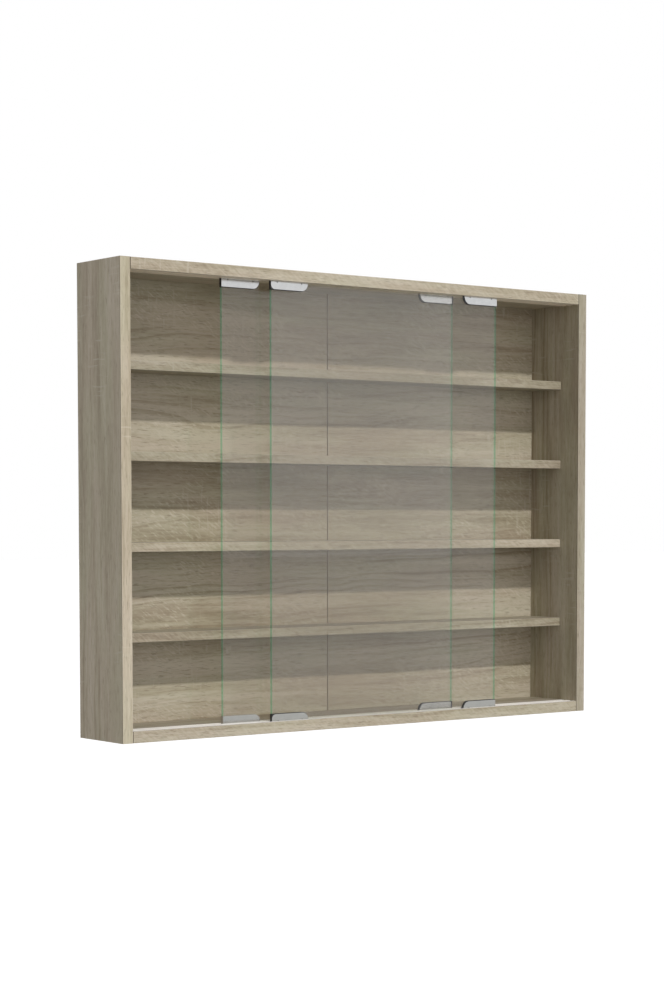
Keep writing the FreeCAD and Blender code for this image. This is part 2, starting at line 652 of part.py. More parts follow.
def shoe_and_liner(name, level, end):
    """A folded metal shoe on one corner of a pane, and the plastic liner that grips the glass."""
    is_top = level == "top"
    at_left = end == "left"
    meets = end == ("left" if name == "front" else "right")
    middle = PANE_MIDDLE[name]
    half = f"({SHOE_THICK} / 2)"
    front = f"({middle} - {half})"
    inside_half = "(dims.glass_thick / 2 + dims.liner_thick)"
    glass_half = "(dims.glass_thick / 2)"
    cap = "dims.liner_thick"
    left = f"({PANE_LEFT[name]} - {cap})"
    if not at_left:
        left = f"({PANE_LEFT[name]} + {PANE_WIDTH} + {cap} - dims.shoe_length)"
    right = f"({left} + dims.shoe_length)"
    foot = f"({SHOE_HEAD} - dims.shoe_height)" if is_top else SHOE_FOOT
    head = f"({foot} + dims.shoe_height)"
    free_edge = foot if is_top else head
    tag = f"{name}_{level}_{end}"

    inner_x = right if at_left else left
    outer_x = left if at_left else right

    def rounding(x, edge, radius, to_right):
        return corner_waste(x, edge, radius, to_right, not is_top, front, SHOE_THICK)

    pip_z = f"({head} - dims.pip_rise)" if is_top else f"({foot} + dims.pip_rise)"
    pip_xs = (f"({left} + dims.pip_inset)", f"({right} - dims.pip_inset)")

    blank = box(f"{tag}_blank", ("dims.shoe_length", SHOE_THICK, "dims.shoe_height"), (left, front, foot))
    cavity_foot = foot if is_top else f"{foot} + dims.shoe_sheet"
    leg_height = "(dims.shoe_height - dims.shoe_sheet)"
    cavity = box("shoe_cavity", ("dims.shoe_length", f"2 * {inside_half}", leg_height),
                 (left, f"{middle} - {inside_half}", cavity_foot))
    cuts = [cavity, rounding(inner_x, free_edge, "dims.shoe_round", at_left)]
    if meets:
        cuts.append(rounding(outer_x, free_edge, "dims.shoe_end_round", not at_left))
        inner_leg = f"({middle} + {inside_half})" if name == "front" else front
        step_x = left if at_left else f"{right} - dims.short_leg_step"
        cuts.append(box("leg_step", ("dims.short_leg_step", "dims.shoe_sheet", "dims.shoe_height"),
                        (step_x, inner_leg, foot)))
    cuts += [rod("pip_hole", "dims.pip_radius + dims.pip_gap", SHOE_THICK, (x, front, pip_z), "+y")
             for x in pip_xs]
    piece(cut(f"{tag}_shoe_shape", blank, cuts), f"{name}_shoe_{level}_{end}")

    lip_edge = f"({foot} - dims.liner_lip)" if is_top else f"({head} + dims.liner_lip)"
    liner_foot = lip_edge if is_top else f"({foot} + dims.shoe_sheet)"
    liner_height = f"{leg_height} + dims.liner_lip"
    sleeve = box(f"{tag}_sleeve", ("dims.shoe_length", f"2 * {inside_half}", liner_height),
                 (left, f"{middle} - {inside_half}", liner_foot))
    glass_x = PANE_LEFT[name] if at_left else left
    glass_foot = lip_edge if is_top else GLASS_FOOT
    glass_room = box("glass_room", (f"dims.shoe_length - {cap}", f"2 * {glass_half}",
                                    f"dims.shoe_height + dims.liner_lip - {WEB}"),
                     (glass_x, f"{middle} - {glass_half}", glass_foot))
    skin = cut(f"{tag}_skin", sleeve, [glass_room, rounding(inner_x, lip_edge, "dims.shoe_round", at_left)])
    pip_length = "(dims.shoe_sheet + dims.liner_thick / 2)"
    pips = []
    for x in pip_xs:
        for y in (front, f"{middle} + {half} - {pip_length}"):
            pips.append(rod("pip", "dims.pip_radius", pip_length, (x, y, pip_z), "+y"))
    piece(fuse(f"{tag}_liner_shape", [skin] + pips), f"{name}_liner_{level}_{end}")


# Build every piece
for side_name, side_sign in SIDES.items():
    side_board(side_name, side_sign)
for board_level in ("bottom", "top"):
    end_board(board_level)
for shelf_number in range(1, SHELF_COUNT + 1):
    shelf(shelf_number)
for side_name, side_sign in SIDES.items():
    back_panel(side_name, side_sign)
seam_tape()

for side_name, side_sign in SIDES.items():
    edge_band(f"{side_name}_side_band", ("dims.board", "dims.height"),
              (f"{side_sign} * (dims.width - dims.board) / 2 - dims.board / 2", CORE_FRONT, BOTTOM))
BAND_LENGTH = f"({INNER_WIDTH} - 2 * dims.band_gap)"
BAND_LEFT = f"({INNER_LEFT} + dims.band_gap)"
for board_level, band_foot in (("bottom", BOTTOM), ("top", CEILING)):
    edge_band(f"{board_level}_board_band", (BAND_LENGTH, "dims.board"), (BAND_LEFT, CORE_FRONT, band_foot))
for shelf_number in range(1, SHELF_COUNT + 1):
    edge_band(f"shelf_{shelf_number}_band", (BAND_LENGTH, "dims.shelf_thick"),
              (BAND_LEFT, "dims.shelf_setback + dims.band - dims.depth",
               f"{shelf_middle(shelf_number)} - dims.shelf_thick / 2"))

corners_of_case = [(sign, level) for sign in SIDES.values() for level in BOARD_MIDDLE]
piece(group("dowels", [case_dowel(sign, level, row, False)
                       for sign, level in corners_of_case for row in DOWEL_ROWS]), "case_dowels")
piece(group("bolts", [cam_bolt(sign, level) for sign, level in corners_of_case]), "cam_bolts")
piece(group("cams", [cam_lock(sign, level) for sign, level in corners_of_case]), "cam_locks")
piece(group("pins", [shelf_pin(sign, number, row, False) for sign in SIDES.values()
                     for number in range(1, SHELF_COUNT + 1) for row in PIN_ROWS]), "shelf_dowels")
piece(group("nails", [nail(x, z) for row in NAILS.values() for x, z in row]), "back_nails")

for side_name, side_sign in SIDES.items():
    hanger_plate(side_sign, f"hanger_plate_{side_name}")
piece(group("plate_screws", [hanger_screw(sign, z) for sign in SIDES.values()
                             for z in plate_screw_heights()]), "hanger_screws")

for board_level in ("bottom", "top"):
    track(board_level)
for pane_name in ("front", "rear"):
    pane(pane_name)
    for board_level in ("bottom", "top"):
        for pane_end in SIDES:
            shoe_and_liner(pane_name, board_level, pane_end)

doc.recompute()

# Check the whole document, then write one file for each piece
for thing in doc.Objects:
    bad = [state for state in thing.State if state in ("Invalid", "Error")]
    if bad:
        raise RuntimeError(f"{thing.Label} is {bad}")
for thing in pieces:
    if thing.Shape.isNull() or not thing.Shape.isValid() or not thing.Shape.Solids:
        raise RuntimeError(f"{thing.Label} has no valid solid")

os.makedirs("parts", exist_ok=True)
for thing in pieces:
    thing.Shape.exportStep(f"parts/{thing.Label}.step")
    print(f"{thing.Label}: {len(thing.Shape.Solids)} solid(s), {thing.Shape.Volume:.1f} mm3")
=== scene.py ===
import math

import bmesh
import bpy
from bpy.props import FloatProperty, FloatVectorProperty, PointerProperty
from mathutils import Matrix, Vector


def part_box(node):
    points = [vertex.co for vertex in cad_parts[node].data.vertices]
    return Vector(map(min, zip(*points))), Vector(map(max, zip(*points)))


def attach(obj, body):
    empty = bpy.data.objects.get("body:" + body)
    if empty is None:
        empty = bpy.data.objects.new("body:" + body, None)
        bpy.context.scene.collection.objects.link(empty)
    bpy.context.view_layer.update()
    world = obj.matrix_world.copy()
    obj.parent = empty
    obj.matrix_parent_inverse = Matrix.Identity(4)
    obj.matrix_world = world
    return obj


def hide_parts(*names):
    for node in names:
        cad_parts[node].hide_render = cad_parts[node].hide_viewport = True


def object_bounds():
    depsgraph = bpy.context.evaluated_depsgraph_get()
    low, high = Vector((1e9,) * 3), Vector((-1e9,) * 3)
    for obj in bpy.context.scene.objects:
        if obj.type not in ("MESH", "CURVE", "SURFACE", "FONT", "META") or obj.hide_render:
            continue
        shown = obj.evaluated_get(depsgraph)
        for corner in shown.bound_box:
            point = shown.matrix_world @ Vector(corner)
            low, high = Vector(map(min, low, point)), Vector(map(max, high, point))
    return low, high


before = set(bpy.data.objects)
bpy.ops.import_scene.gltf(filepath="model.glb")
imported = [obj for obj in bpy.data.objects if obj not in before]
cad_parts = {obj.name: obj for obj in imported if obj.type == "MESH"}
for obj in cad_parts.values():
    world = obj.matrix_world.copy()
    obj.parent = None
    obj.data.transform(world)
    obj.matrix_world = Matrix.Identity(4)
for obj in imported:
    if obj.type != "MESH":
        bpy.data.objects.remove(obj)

bl_info = {
    "name": "Wall display cabinet",
    "version": (1, 0, 0),
    "blender": (4, 5, 0),
    "location": "View3D > Sidebar > Cabinet",
    "description": "Finishes for an oak-look wall cabinet with sliding glass panes",
    "category": "Object",
}

CAD_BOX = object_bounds()

MM = 0.001
PANES = ("front", "rear")
LEVELS = ("bottom", "top")
ENDS = ("left", "right")
SHELVES = ("shelf_1", "shelf_2", "shelf_3", "shelf_4")

# All liners show dark ends but this one
PALE_LINER = "rear_liner_bottom_left"

# The boards, upright and level
SIDE_BOARDS = ("left_side", "right_side")
TOP_AND_BOTTOM = ("bottom_board", "top_board")
LEVEL_BOARDS = TOP_AND_BOTTOM + SHELVES
BACK_PANELS = ("back_panel_left", "back_panel_right")

# Where the nails go in, in millimetres
NAIL_SIDE_X = 389.5
NAIL_SIDE_Z = (-511.0, -365.33, -219.67, -74.0)
NAIL_LEVEL_X = (40.0, 192.5, 345.0)
NAIL_LEVEL_Z = (-555.5, 35.5)
NAIL_SHELF_X = 192.5

# A nail's crown: heights and widths, as shares of its head's, and where the shank meets the head
NAIL_CROWN = ((1.0, 0.45), (0.82, 0.78), (0.4, 1.0))
NAIL_NECK = -0.05
NAIL_POINT = 1.6 * MM
NAIL_POINT_WIDTH = 0.12
NAIL_CORNERS = 14
DOWEL_FLUTES = 12

# Turned pieces show a crease where two faces meet at more than this
CREASE_ANGLE = math.radians(38)

# How far a piece may stand from the node whose place it takes
STAND_TOLERANCE = 0.5 * MM

# The bands are cut from other sheets than the boards, some a little paler
BAND_TONES = {
    "left_side": 1.28,
    "right_side": 0.92,
    "bottom_board": 1.1,
    "top_board": 1.17,
    "shelf_1": 1.0,
    "shelf_2": 1.12,
    "shelf_3": 0.98,
    "shelf_4": 0.96,
}

# The photograph's camera, in the part's frame: the room is on -Y
CAMERA_PLACE = Vector((-1872.16, -2486.74, -279.59)) * MM
CAMERA_YAW = math.radians(-37.7236)
CAMERA_PITCH = math.radians(90 - 3.5277)
FOCAL_PIXELS = 2213.46
PHOTO_WIDTH = 664
PHOTO_HEIGHT = 1000
PRINCIPAL_POINT = (354.87, 653.64)
SENSOR = 36.0
CLIP_END = 200.0

# The stage: half the floor's width, in metres, how the camera sees the floor, and where the sky is darkest
FLOOR_HALF = 60.0
WHITE = (1.0, 1.0, 1.0)
PAPER = (0.9, 0.9, 0.9)
PAPER_LIFT = 0.4
HORIZON_FADE = 0.62
MIRRORED_RAYS = ("Is Glossy Ray", "Is Transmission Ray")


class OakFinish(bpy.types.PropertyGroup):
    """Colours and grain of the oak-look melamine."""

    pale: FloatVectorProperty(
        name="Pale grain", description="Colour of the palest grain", subtype="COLOR",
        size=3, min=0, max=1, default=(0.485, 0.438, 0.35))
    middle: FloatVectorProperty(
        name="Middle grain", description="Colour of most of the surface", subtype="COLOR",
        size=3, min=0, max=1, default=(0.395, 0.345, 0.257))
    dark: FloatVectorProperty(
        name="Dark grain", description="Colour of the growth rings", subtype="COLOR",
        size=3, min=0, max=1, default=(0.275, 0.228, 0.16))
    pore: FloatVectorProperty(
        name="Pores", description="Colour of the open pores", subtype="COLOR",
        size=3, min=0, max=1, default=(0.165, 0.131, 0.086))
    roughness: FloatProperty(
        name="Roughness", description="Roughness of the satin surface", subtype="FACTOR",
        min=0, max=1, default=0.52)
    sheen: FloatProperty(
        name="Sheen", description="Strength of the surface's reflections", subtype="FACTOR",
        min=0, max=1, default=0.36)
    saw_marks: FloatProperty(
        name="Saw marks", description="Strength of the strokes across the grain", subtype="FACTOR",
        min=0, max=1, default=0.5)
    rubbed_edge: FloatProperty(
        name="Rubbed edge", description="Width of the paler edges of a band", subtype="DISTANCE",
        unit="LENGTH", default=0.0012)
    # Partly painted shade: the band's plain core, made dark so that the joints between the bands look shaded
    core: FloatVectorProperty(
        name="Band core", description="Plain colour of a band where it is milled", subtype="COLOR",
        size=3, min=0, max=1, default=(0.19, 0.16, 0.112))
    # Painted shade: the dark line where two bands meet stands for the shade in the joint
    glue: FloatVectorProperty(
        name="Glue", description="Colour of the line where two bands meet", subtype="COLOR",
        size=3, min=0, max=1, default=(0.05, 0.04, 0.03))
    glue_line: FloatProperty(
        name="Glue line", description="Width of the line where two bands meet", subtype="DISTANCE",
        unit="LENGTH", default=0.0006)
    pore_depth: FloatProperty(
        name="Pore depth", description="Depth of the embossed pores", subtype="DISTANCE",
        unit="LENGTH", default=0.00007)


class GlassFinish(bpy.types.PropertyGroup):
    """Clear float glass with ground edges."""

    tint: FloatVectorProperty(
        name="Tint", description="Colour of light that has passed a pane", subtype="COLOR",
        size=3, min=0, max=1, default=(0.93, 0.922, 0.906))
    edge: FloatVectorProperty(
        name="Edge", description="Colour of light that has passed a ground edge", subtype="COLOR",
        size=3, min=0, max=1, default=(0.62, 1.0, 0.84))
    frost: FloatVectorProperty(
        name="Frost", description="Colour of the ground surface of the edges", subtype="COLOR",
        size=3, min=0, max=1, default=(0.32, 0.55, 0.38))
    frosting: FloatProperty(
        name="Frosting", description="How much of the edges' surface is ground dull", subtype="FACTOR",
        min=0, max=1, default=0.12)
    ior: FloatProperty(
        name="IOR", description="Index of refraction, near 1 for panes that don't bend the view", min=1,
        max=2, default=1.02)
    polish_ior: FloatProperty(
        name="Polish IOR", description="Index of refraction that sets how much the faces mirror", min=1,
        max=2, default=1.46)
    arris: FloatProperty(
        name="Arris", description="Width of the ground arris on each edge", subtype="DISTANCE",
        unit="LENGTH", default=0.0006)


class FittingFinish(bpy.types.PropertyGroup):
    """Plastic and metal fittings."""

    bottom_track: FloatVectorProperty(
        name="Bottom track", description="Colour of the plastic track below", subtype="COLOR",
        size=3, min=0, max=1, default=(0.98, 0.945, 0.895))
    top_track: FloatVectorProperty(
        name="Top track", description="Colour of the plastic track above", subtype="COLOR",
        size=3, min=0, max=1, default=(0.86, 0.755, 0.6))
    # Painted reflection: the shoes below are the same metal as those above, made darker for the darker
    # surroundings they mirror
    bottom_shoe: FloatVectorProperty(
        name="Bottom shoe", description="Colour of the plated shoes below", subtype="COLOR",
        size=3, min=0, max=1, default=(0.484, 0.484, 0.466))
    top_shoe: FloatVectorProperty(
        name="Top shoe", description="Colour of the plated shoes above", subtype="COLOR",
        size=3, min=0, max=1, default=(0.605, 0.61, 0.612))
    shoe_roughness: FloatProperty(
        name="Shoe roughness", description="Roughness of the plated shoes", subtype="FACTOR",
        min=0, max=1, default=0.16)
    liner: FloatVectorProperty(
        name="Liner", description="Colour of the shoes' plastic liners", subtype="COLOR",
        size=3, min=0, max=1, default=(0.012, 0.012, 0.012))
    pale_liner: FloatVectorProperty(
        name="Pale liner", description="Colour of the liner at the rear pane's lower left", subtype="COLOR",
        size=3, min=0, max=1, default=(0.34, 0.31, 0.26))
    zinc: FloatVectorProperty(
        name="Zinc", description="Colour of zinc-plated steel", subtype="COLOR",
        size=3, min=0, max=1, default=(0.6, 0.61, 0.62))


class FastenerSizes(bpy.types.PropertyGroup):
    """Sizes of the nails and dowels."""

    nail_length: FloatProperty(
        name="Nail length", description="Length of a nail's shank", subtype="DISTANCE",
        unit="LENGTH", default=0.02)
    nail_radius: FloatProperty(
        name="Nail radius", description="Radius of a nail's shank", subtype="DISTANCE",
        unit="LENGTH", default=0.0007)
    head_radius: FloatProperty(
        name="Head radius", description="Radius of a nail's head", subtype="DISTANCE",
        unit="LENGTH", default=0.0016)
    head_height: FloatProperty(
        name="Head height", description="Height of a nail's head", subtype="DISTANCE",
        unit="LENGTH", default=0.0004)
    case_dowel_radius: FloatProperty(
        name="Case dowel radius", description="Radius of the dowels in top and bottom", subtype="DISTANCE",
        unit="LENGTH", default=0.004)
    case_dowel_length: FloatProperty(
        name="Case dowel length", description="Length of the dowels in top and bottom", subtype="DISTANCE",
        unit="LENGTH", default=0.029)
    shelf_dowel_radius: FloatProperty(
        name="Shelf dowel radius", description="Radius of the dowels in the shelves", subtype="DISTANCE",
        unit="LENGTH", default=0.003)
    shelf_dowel_length: FloatProperty(
        name="Shelf dowel length", description="Length of the dowels in the shelves", subtype="DISTANCE",
        unit="LENGTH", default=0.024)
    dowel_chamfer: FloatProperty(
        name="Dowel chamfer", description="Chamfer on a dowel's ends", subtype="DISTANCE",
        unit="LENGTH", default=0.0009)
    flute_depth: FloatProperty(
        name="Flute depth", description="Depth of a dowel's flutes, as a share of its radius",
        subtype="FACTOR", min=0, max=0.5, default=0.07)


class StageSettings(bpy.types.PropertyGroup):
    """Light and floor."""

    key_strength: FloatProperty(
        name="Key light", description="Strength of the light from above the camera", default=1.88)
    key_height: FloatProperty(
        name="Key height", description="Angle of the key light above the horizon", subtype="ANGLE",
        unit="ROTATION", default=math.radians(44.0))
    key_spread: FloatProperty(
        name="Key spread", description="Angle over which the key light spreads", subtype="ANGLE",
        unit="ROTATION", default=math.radians(2.0))
    sky_strength: FloatProperty(
        name="Sky", description="Strength of the soft light from overhead", default=0.25)
    horizon_strength: FloatProperty(
        name="Horizon", description="Strength of the soft light from all round, at eye level", default=1.24)
    floor_colour: FloatVectorProperty(
        name="Floor", description="Colour of the floor", subtype="COLOR",
        size=3, min=0, max=1, default=(0.56, 0.555, 0.545))
    floor_mirrored: FloatVectorProperty(
        name="Floor in metal", description="Colour of the floor as metal and glass show it", subtype="COLOR",
        size=3, min=0, max=1, default=(1.0, 1.0, 0.99))
    floor_drop: FloatProperty(
        name="Floor drop", description="Floor below the cabinet", subtype="DISTANCE",
        unit="LENGTH", default=1.1)


class Nodes:
    """A node tree under construction, with short ways to add and join its nodes."""

    def __init__(self, tree):
        self.tree = tree

    def put(self, socket, value):
        """Link a socket to an input, or set the input to a plain value."""
        if isinstance(value, bpy.types.NodeSocket):
            self.tree.links.new(value, socket)
        elif hasattr(socket.default_value, "__len__") and len(socket.default_value) == 4:
            socket.default_value = (*value[:3], 1)
        else:
            socket.default_value = value

    def node(self, kind, inputs=None, **settings):
        made = self.tree.nodes.new(kind)
        for setting, value in settings.items():
            setattr(made, setting, value)
        for key, value in (inputs or {}).items():
            self.put(made.inputs[key], value)
        return made

    def math(self, operation, first, second=0.0):
        made = self.node("ShaderNodeMath", {0: first, 1: second}, operation=operation)
        return made.outputs[0]

    def times(self, first, second):
        return self.math("MULTIPLY", first, second)

    def more(self, value, factor, base):
        """The base with so much of a value added."""
        made = self.node("ShaderNodeMath", {0: value, 1: factor, 2: base}, operation="MULTIPLY_ADD")
        return made.outputs[0]

    def seen_by(self, rays, first, second):
        """One shader, and another in its place for the named kinds of ray."""
        path = self.node("ShaderNodeLightPath").outputs
        share = path[rays[0]]
        for ray in rays[1:]:
            share = self.math("MAXIMUM", share, path[ray])
        return self.node("ShaderNodeMixShader", {0: share, 1: first, 2: second}).outputs[0]


class Shader(Nodes):
    """A material under construction."""

    def __init__(self, name):
        self.material = bpy.data.materials.new(name)
        self.material.use_nodes = True
        super().__init__(self.material.node_tree)
        self.tree.nodes.clear()
        self.out = self.node("ShaderNodeOutputMaterial")

    def between(self, share, first, second):
        made = self.node("ShaderNodeMix", {0: share, 2: first, 3: second}, data_type="FLOAT")
        return made.outputs[0]

    def ramp(self, value, stops):
        """Colours blended between stops, each a position and a colour."""
        made = self.node("ShaderNodeValToRGB", {0: value})
        elements = made.color_ramp.elements
        while len(elements) < len(stops):
            elements.new(0.5)
        for element, (position, colour) in zip(elements, stops):
            element.position = position
            element.color = (*colour, 1)
        return made.outputs[0]

    def step(self, value, low, high):
        """A smooth rise from 0 to 1 as the value goes from low to high, or a fall where low is above high."""
        made = self.node("ShaderNodeMapRange", {"Value": value, "From Min": low, "From Max": high},
                         interpolation_type="SMOOTHSTEP")
        return made.outputs[0]

    def mix(self, share, first, second, blend="MIX"):
        made = self.node("ShaderNodeMix", {0: share, 6: first, 7: second}, data_type="RGBA",
                         blend_type=blend)
        return made.outputs[2]

    def place(self):
        """Object coordinates: the part's own frame, in metres."""
        return self.node("ShaderNodeTexCoord").outputs["Object"]

    def axes(self, vector):
        return self.node("ShaderNodeSeparateXYZ", {0: vector}).outputs

    def stretch(self, vector, scale, shift=(0, 0, 0)):
        made = self.node("ShaderNodeMapping", {"Vector": vector, "Scale": scale, "Location": shift})
        return made.outputs[0]

    def noise(self, vector, detail, roughness=0.5, distortion=0.0):
        made = self.node("ShaderNodeTexNoise",
                         {"Vector": vector, "Scale": 1.0, "Detail": detail, "Roughness": roughness,
                          "Distortion": distortion})
        return made.outputs[0]

    def pattern(self, counts, detail, roughness=0.5, distortion=0.0):
        """Noise with so many features per metre along X, Y and Z."""
        return self.noise(self.stretch(self.place(), counts), detail, roughness, distortion)

    def bump(self, height, distance):
        made = self.node("ShaderNodeBump", {"Height": height, "Distance": distance, "Strength": 1.0})
        return made.outputs[0]

    def cells(self, count):
        """Small cells that differ in tone, so many per metre."""
        made = self.node("ShaderNodeTexVoronoi", {"Vector": self.place(), "Scale": count})
        return self.axes(made.outputs["Color"])[0]

    def end(self, shown):
        """End the material in the shader that is shown."""
        self.tree.links.new(shown, self.out.inputs["Surface"])
        return self.material

    def surface(self, **inputs):
        """End the material in one Principled shader. Underscores in names stand for spaces."""
        shader = self.node("ShaderNodeBsdfPrincipled")
        for key, value in inputs.items():
            self.put(shader.inputs[key.replace("_", " ")], value)
        return self.end(shader.outputs[0])


class Turnery(Nodes):
    """A Geometry Nodes tree that sets one turned piece on each vertex of a mesh."""

    def __init__(self, name, sizes):
        super().__init__(bpy.data.node_groups.new(name, "GeometryNodeTree"))
        self.sizes = sizes
        self.keys = {}
        face = self.tree.interface
        face.new_socket("Spots", in_out="INPUT", socket_type="NodeSocketGeometry")
        for label in sizes:
            socket = face.new_socket(label, in_out="INPUT", socket_type="NodeSocketFloat")
            socket.subtype = "DISTANCE"
            self.keys[label] = socket.identifier
        face.new_socket("Pieces", in_out="OUTPUT", socket_type="NodeSocketGeometry")
        self.given = self.node("NodeGroupInput").outputs

    def by_index(self, values):
        """One value for each point of a line, by its index."""
        made = self.node("GeometryNodeIndexSwitch", {"Index": self.node("GeometryNodeInputIndex").outputs[0]},
                         data_type="FLOAT")
        while len(made.index_switch_items) < len(values):
            made.index_switch_items.new()
        for index, value in enumerate(values):
            self.put(made.inputs[str(index)], value)
        return made.outputs[0]

    def round_profile(self, corners):
        made = self.node("GeometryNodeCurvePrimitiveCircle", {"Resolution": corners, "Radius": 1.0})
        return made.outputs[0]

    def fluted_profile(self, flutes, depth):
        """A circle whose every second corner lies deeper."""
        circle = self.round_profile(2 * flutes)
        odd = self.math("MODULO", self.node("GeometryNodeInputIndex").outputs[0], 2.0)
        reach = self.more(odd, -depth, 1.0)
        place = self.node("ShaderNodeVectorMath", {0: self.node("GeometryNodeInputPosition").outputs[0],
                                                   "Scale": reach}, operation="SCALE")
        moved = self.node("GeometryNodeSetPosition", {"Geometry": circle, "Position": place.outputs[0]})
        return moved.outputs[0]

    def turn(self, axis, stations, profile, material):
        """End the tree: a profile run along an axis, as wide at each station as it says."""
        line = self.node("GeometryNodeMeshLine", {"Count": len(stations)}).outputs[0]
        along = self.by_index([station for station, radius in stations])
        place = self.node("ShaderNodeCombineXYZ", {axis: along}).outputs[0]
        line = self.node("GeometryNodeSetPosition", {"Geometry": line, "Position": place}).outputs[0]
        path = self.node("GeometryNodeMeshToCurve", {"Mesh": line}).outputs[0]
        wide = self.by_index([radius for station, radius in stations])
        piece = self.node("GeometryNodeCurveToMesh", {"Curve": path, "Profile Curve": profile, "Scale": wide,
                                                      "Fill Caps": True}).outputs[0]
        pieces = self.node("GeometryNodeInstanceOnPoints",
                           {"Points": self.given["Spots"], "Instance": piece}).outputs[0]
        pieces = self.node("GeometryNodeRealizeInstances", {"Geometry": pieces}).outputs[0]
        pieces = self.node("GeometryNodeSetMaterial", {"Geometry": pieces, "Material": material}).outputs[0]
        self.tree.links.new(pieces, self.node("NodeGroupOutput").inputs["Pieces"])

    def make(self, name, spots):
        """One plain mesh of all pieces."""
        dots = bpy.data.meshes.new(f"{name}_spots")
        dots.from_pydata(spots, [], [])
        piece = bpy.data.objects.new(name, dots)
        bpy.context.scene.collection.objects.link(piece)
        modifier = piece.modifiers.new("turnery", "NODES")
        modifier.node_group = self.tree
        for label, size in self.sizes.items():
            modifier[self.keys[label]] = size
        graph = bpy.context.evaluated_depsgraph_get()
        mesh = bpy.data.meshes.new_from_object(piece.evaluated_get(graph))
        piece.modifiers.clear()
        mesh.name = name
        piece.data = mesh
        mesh.polygons.foreach_set("use_smooth", [True] * len(mesh.polygons))
        mesh.set_sharp_from_angle(angle=CREASE_ANGLE)
        return piece


def settings():
    return bpy.context.scene.cabinet


def dress(node_name, material):
    """Give a CAD node one material."""
    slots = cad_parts[node_name].data.materials
    slots.clear()
    slots.append(material)


def toned(colour, factor):
    """A colour made paler or darker."""
    return [factor * part for part in colour]


# Grain: how many features per metre, along the grain and across it
CLOUD = (1.5, 9.0)
SHEET_CLOUD = (0.6, 12.0)
HUE = (5.0, 30.0)
STREAK = (3.6, 58.0)
FIBRE = (13.0, 290.0)
FLECK = (55.0, 430.0)
PORE = (75.0, 900.0)
SAW_MARK = (260.0, 30.0)
SAW_PATCH = (9.0, 12.0)
RING_BAND = (1.7, 15.0)
RING_WANDER = (1.5, 4.0)
RING_WOBBLE = (4.5, 10.0)
HATCH = (80.0, 420.0)
HATCH_PATCH = (8.0, 20.0)

# Where each pattern begins to show, and where it shows in full
PORE_STEP = (0.575, 0.68)
RING_BAND_STEP = (0.4, 0.62)
LATE_RISE = (0.4, 0.9)
LATE_END = (1.0, 0.9)
YEAR_STEP = (0.1, 1.0)
HATCH_STEP = (0.5, 0.72)
HATCH_PATCH_STEP = (0.42, 0.62)
HUE_STEP = (0.34, 0.66)
SAW_STEP = (0.6, 0.72)
SAW_PATCH_STEP = (0.53, 0.66)

# How much each pattern adds to the shade, which is dark at 0.1 and pale at 0.9
SHADE_START = -0.665
STREAK_REACH = 1.3
FIBRE_REACH = 0.6
FLECK_REACH = 0.5
LATE_REACH = -0.38
SHADE_STOPS = (0.1, 0.5, 0.9)

# How much the pores darken a board and the rubbing pales a band, and how much the fibres change the gloss
PORE_SHARE = 0.45
RUBBED_SHARE = 0.4
FIBRE_GLOSS = 0.16

# How strong the clouds are on boards and bands, and on the back, whose panels are cut from one sheet
CLOUD_REACH = 0.75
SHEET_CLOUD_REACH = 1.4
SHEET_STRETCH = 0
SHEET_TONE = 1.09
SHEET_HATCH = 0.5
BAND_HATCH = 0.9

# Painted shade: the bottom board and the shelves are a little darker than the other boards, for the shade on
# their tops
PAINTED_SHELF_SHADE = 0.82

# Growth rings: how many per metre across the grain, and how far they wander, in rings
RING_COUNT = 105.0
WANDER_REACH = 11.0
WOBBLE_REACH = 4.0

# Oak is greener in one place and pinker in another
GREENISH = (0.982, 1.0, 0.958)
PINKISH = (1.0, 0.97, 0.966)

# The pale strokes across the back and across the bands of top, bottom and shelves slope down to the right
HATCH_SLOPE = math.radians(-34)


def along_grain(grain, counts):
    """Scale of a pattern that runs along one axis of the frame."""
    return tuple(counts[0] if axis == grain else counts[1] for axis in "XYZ")


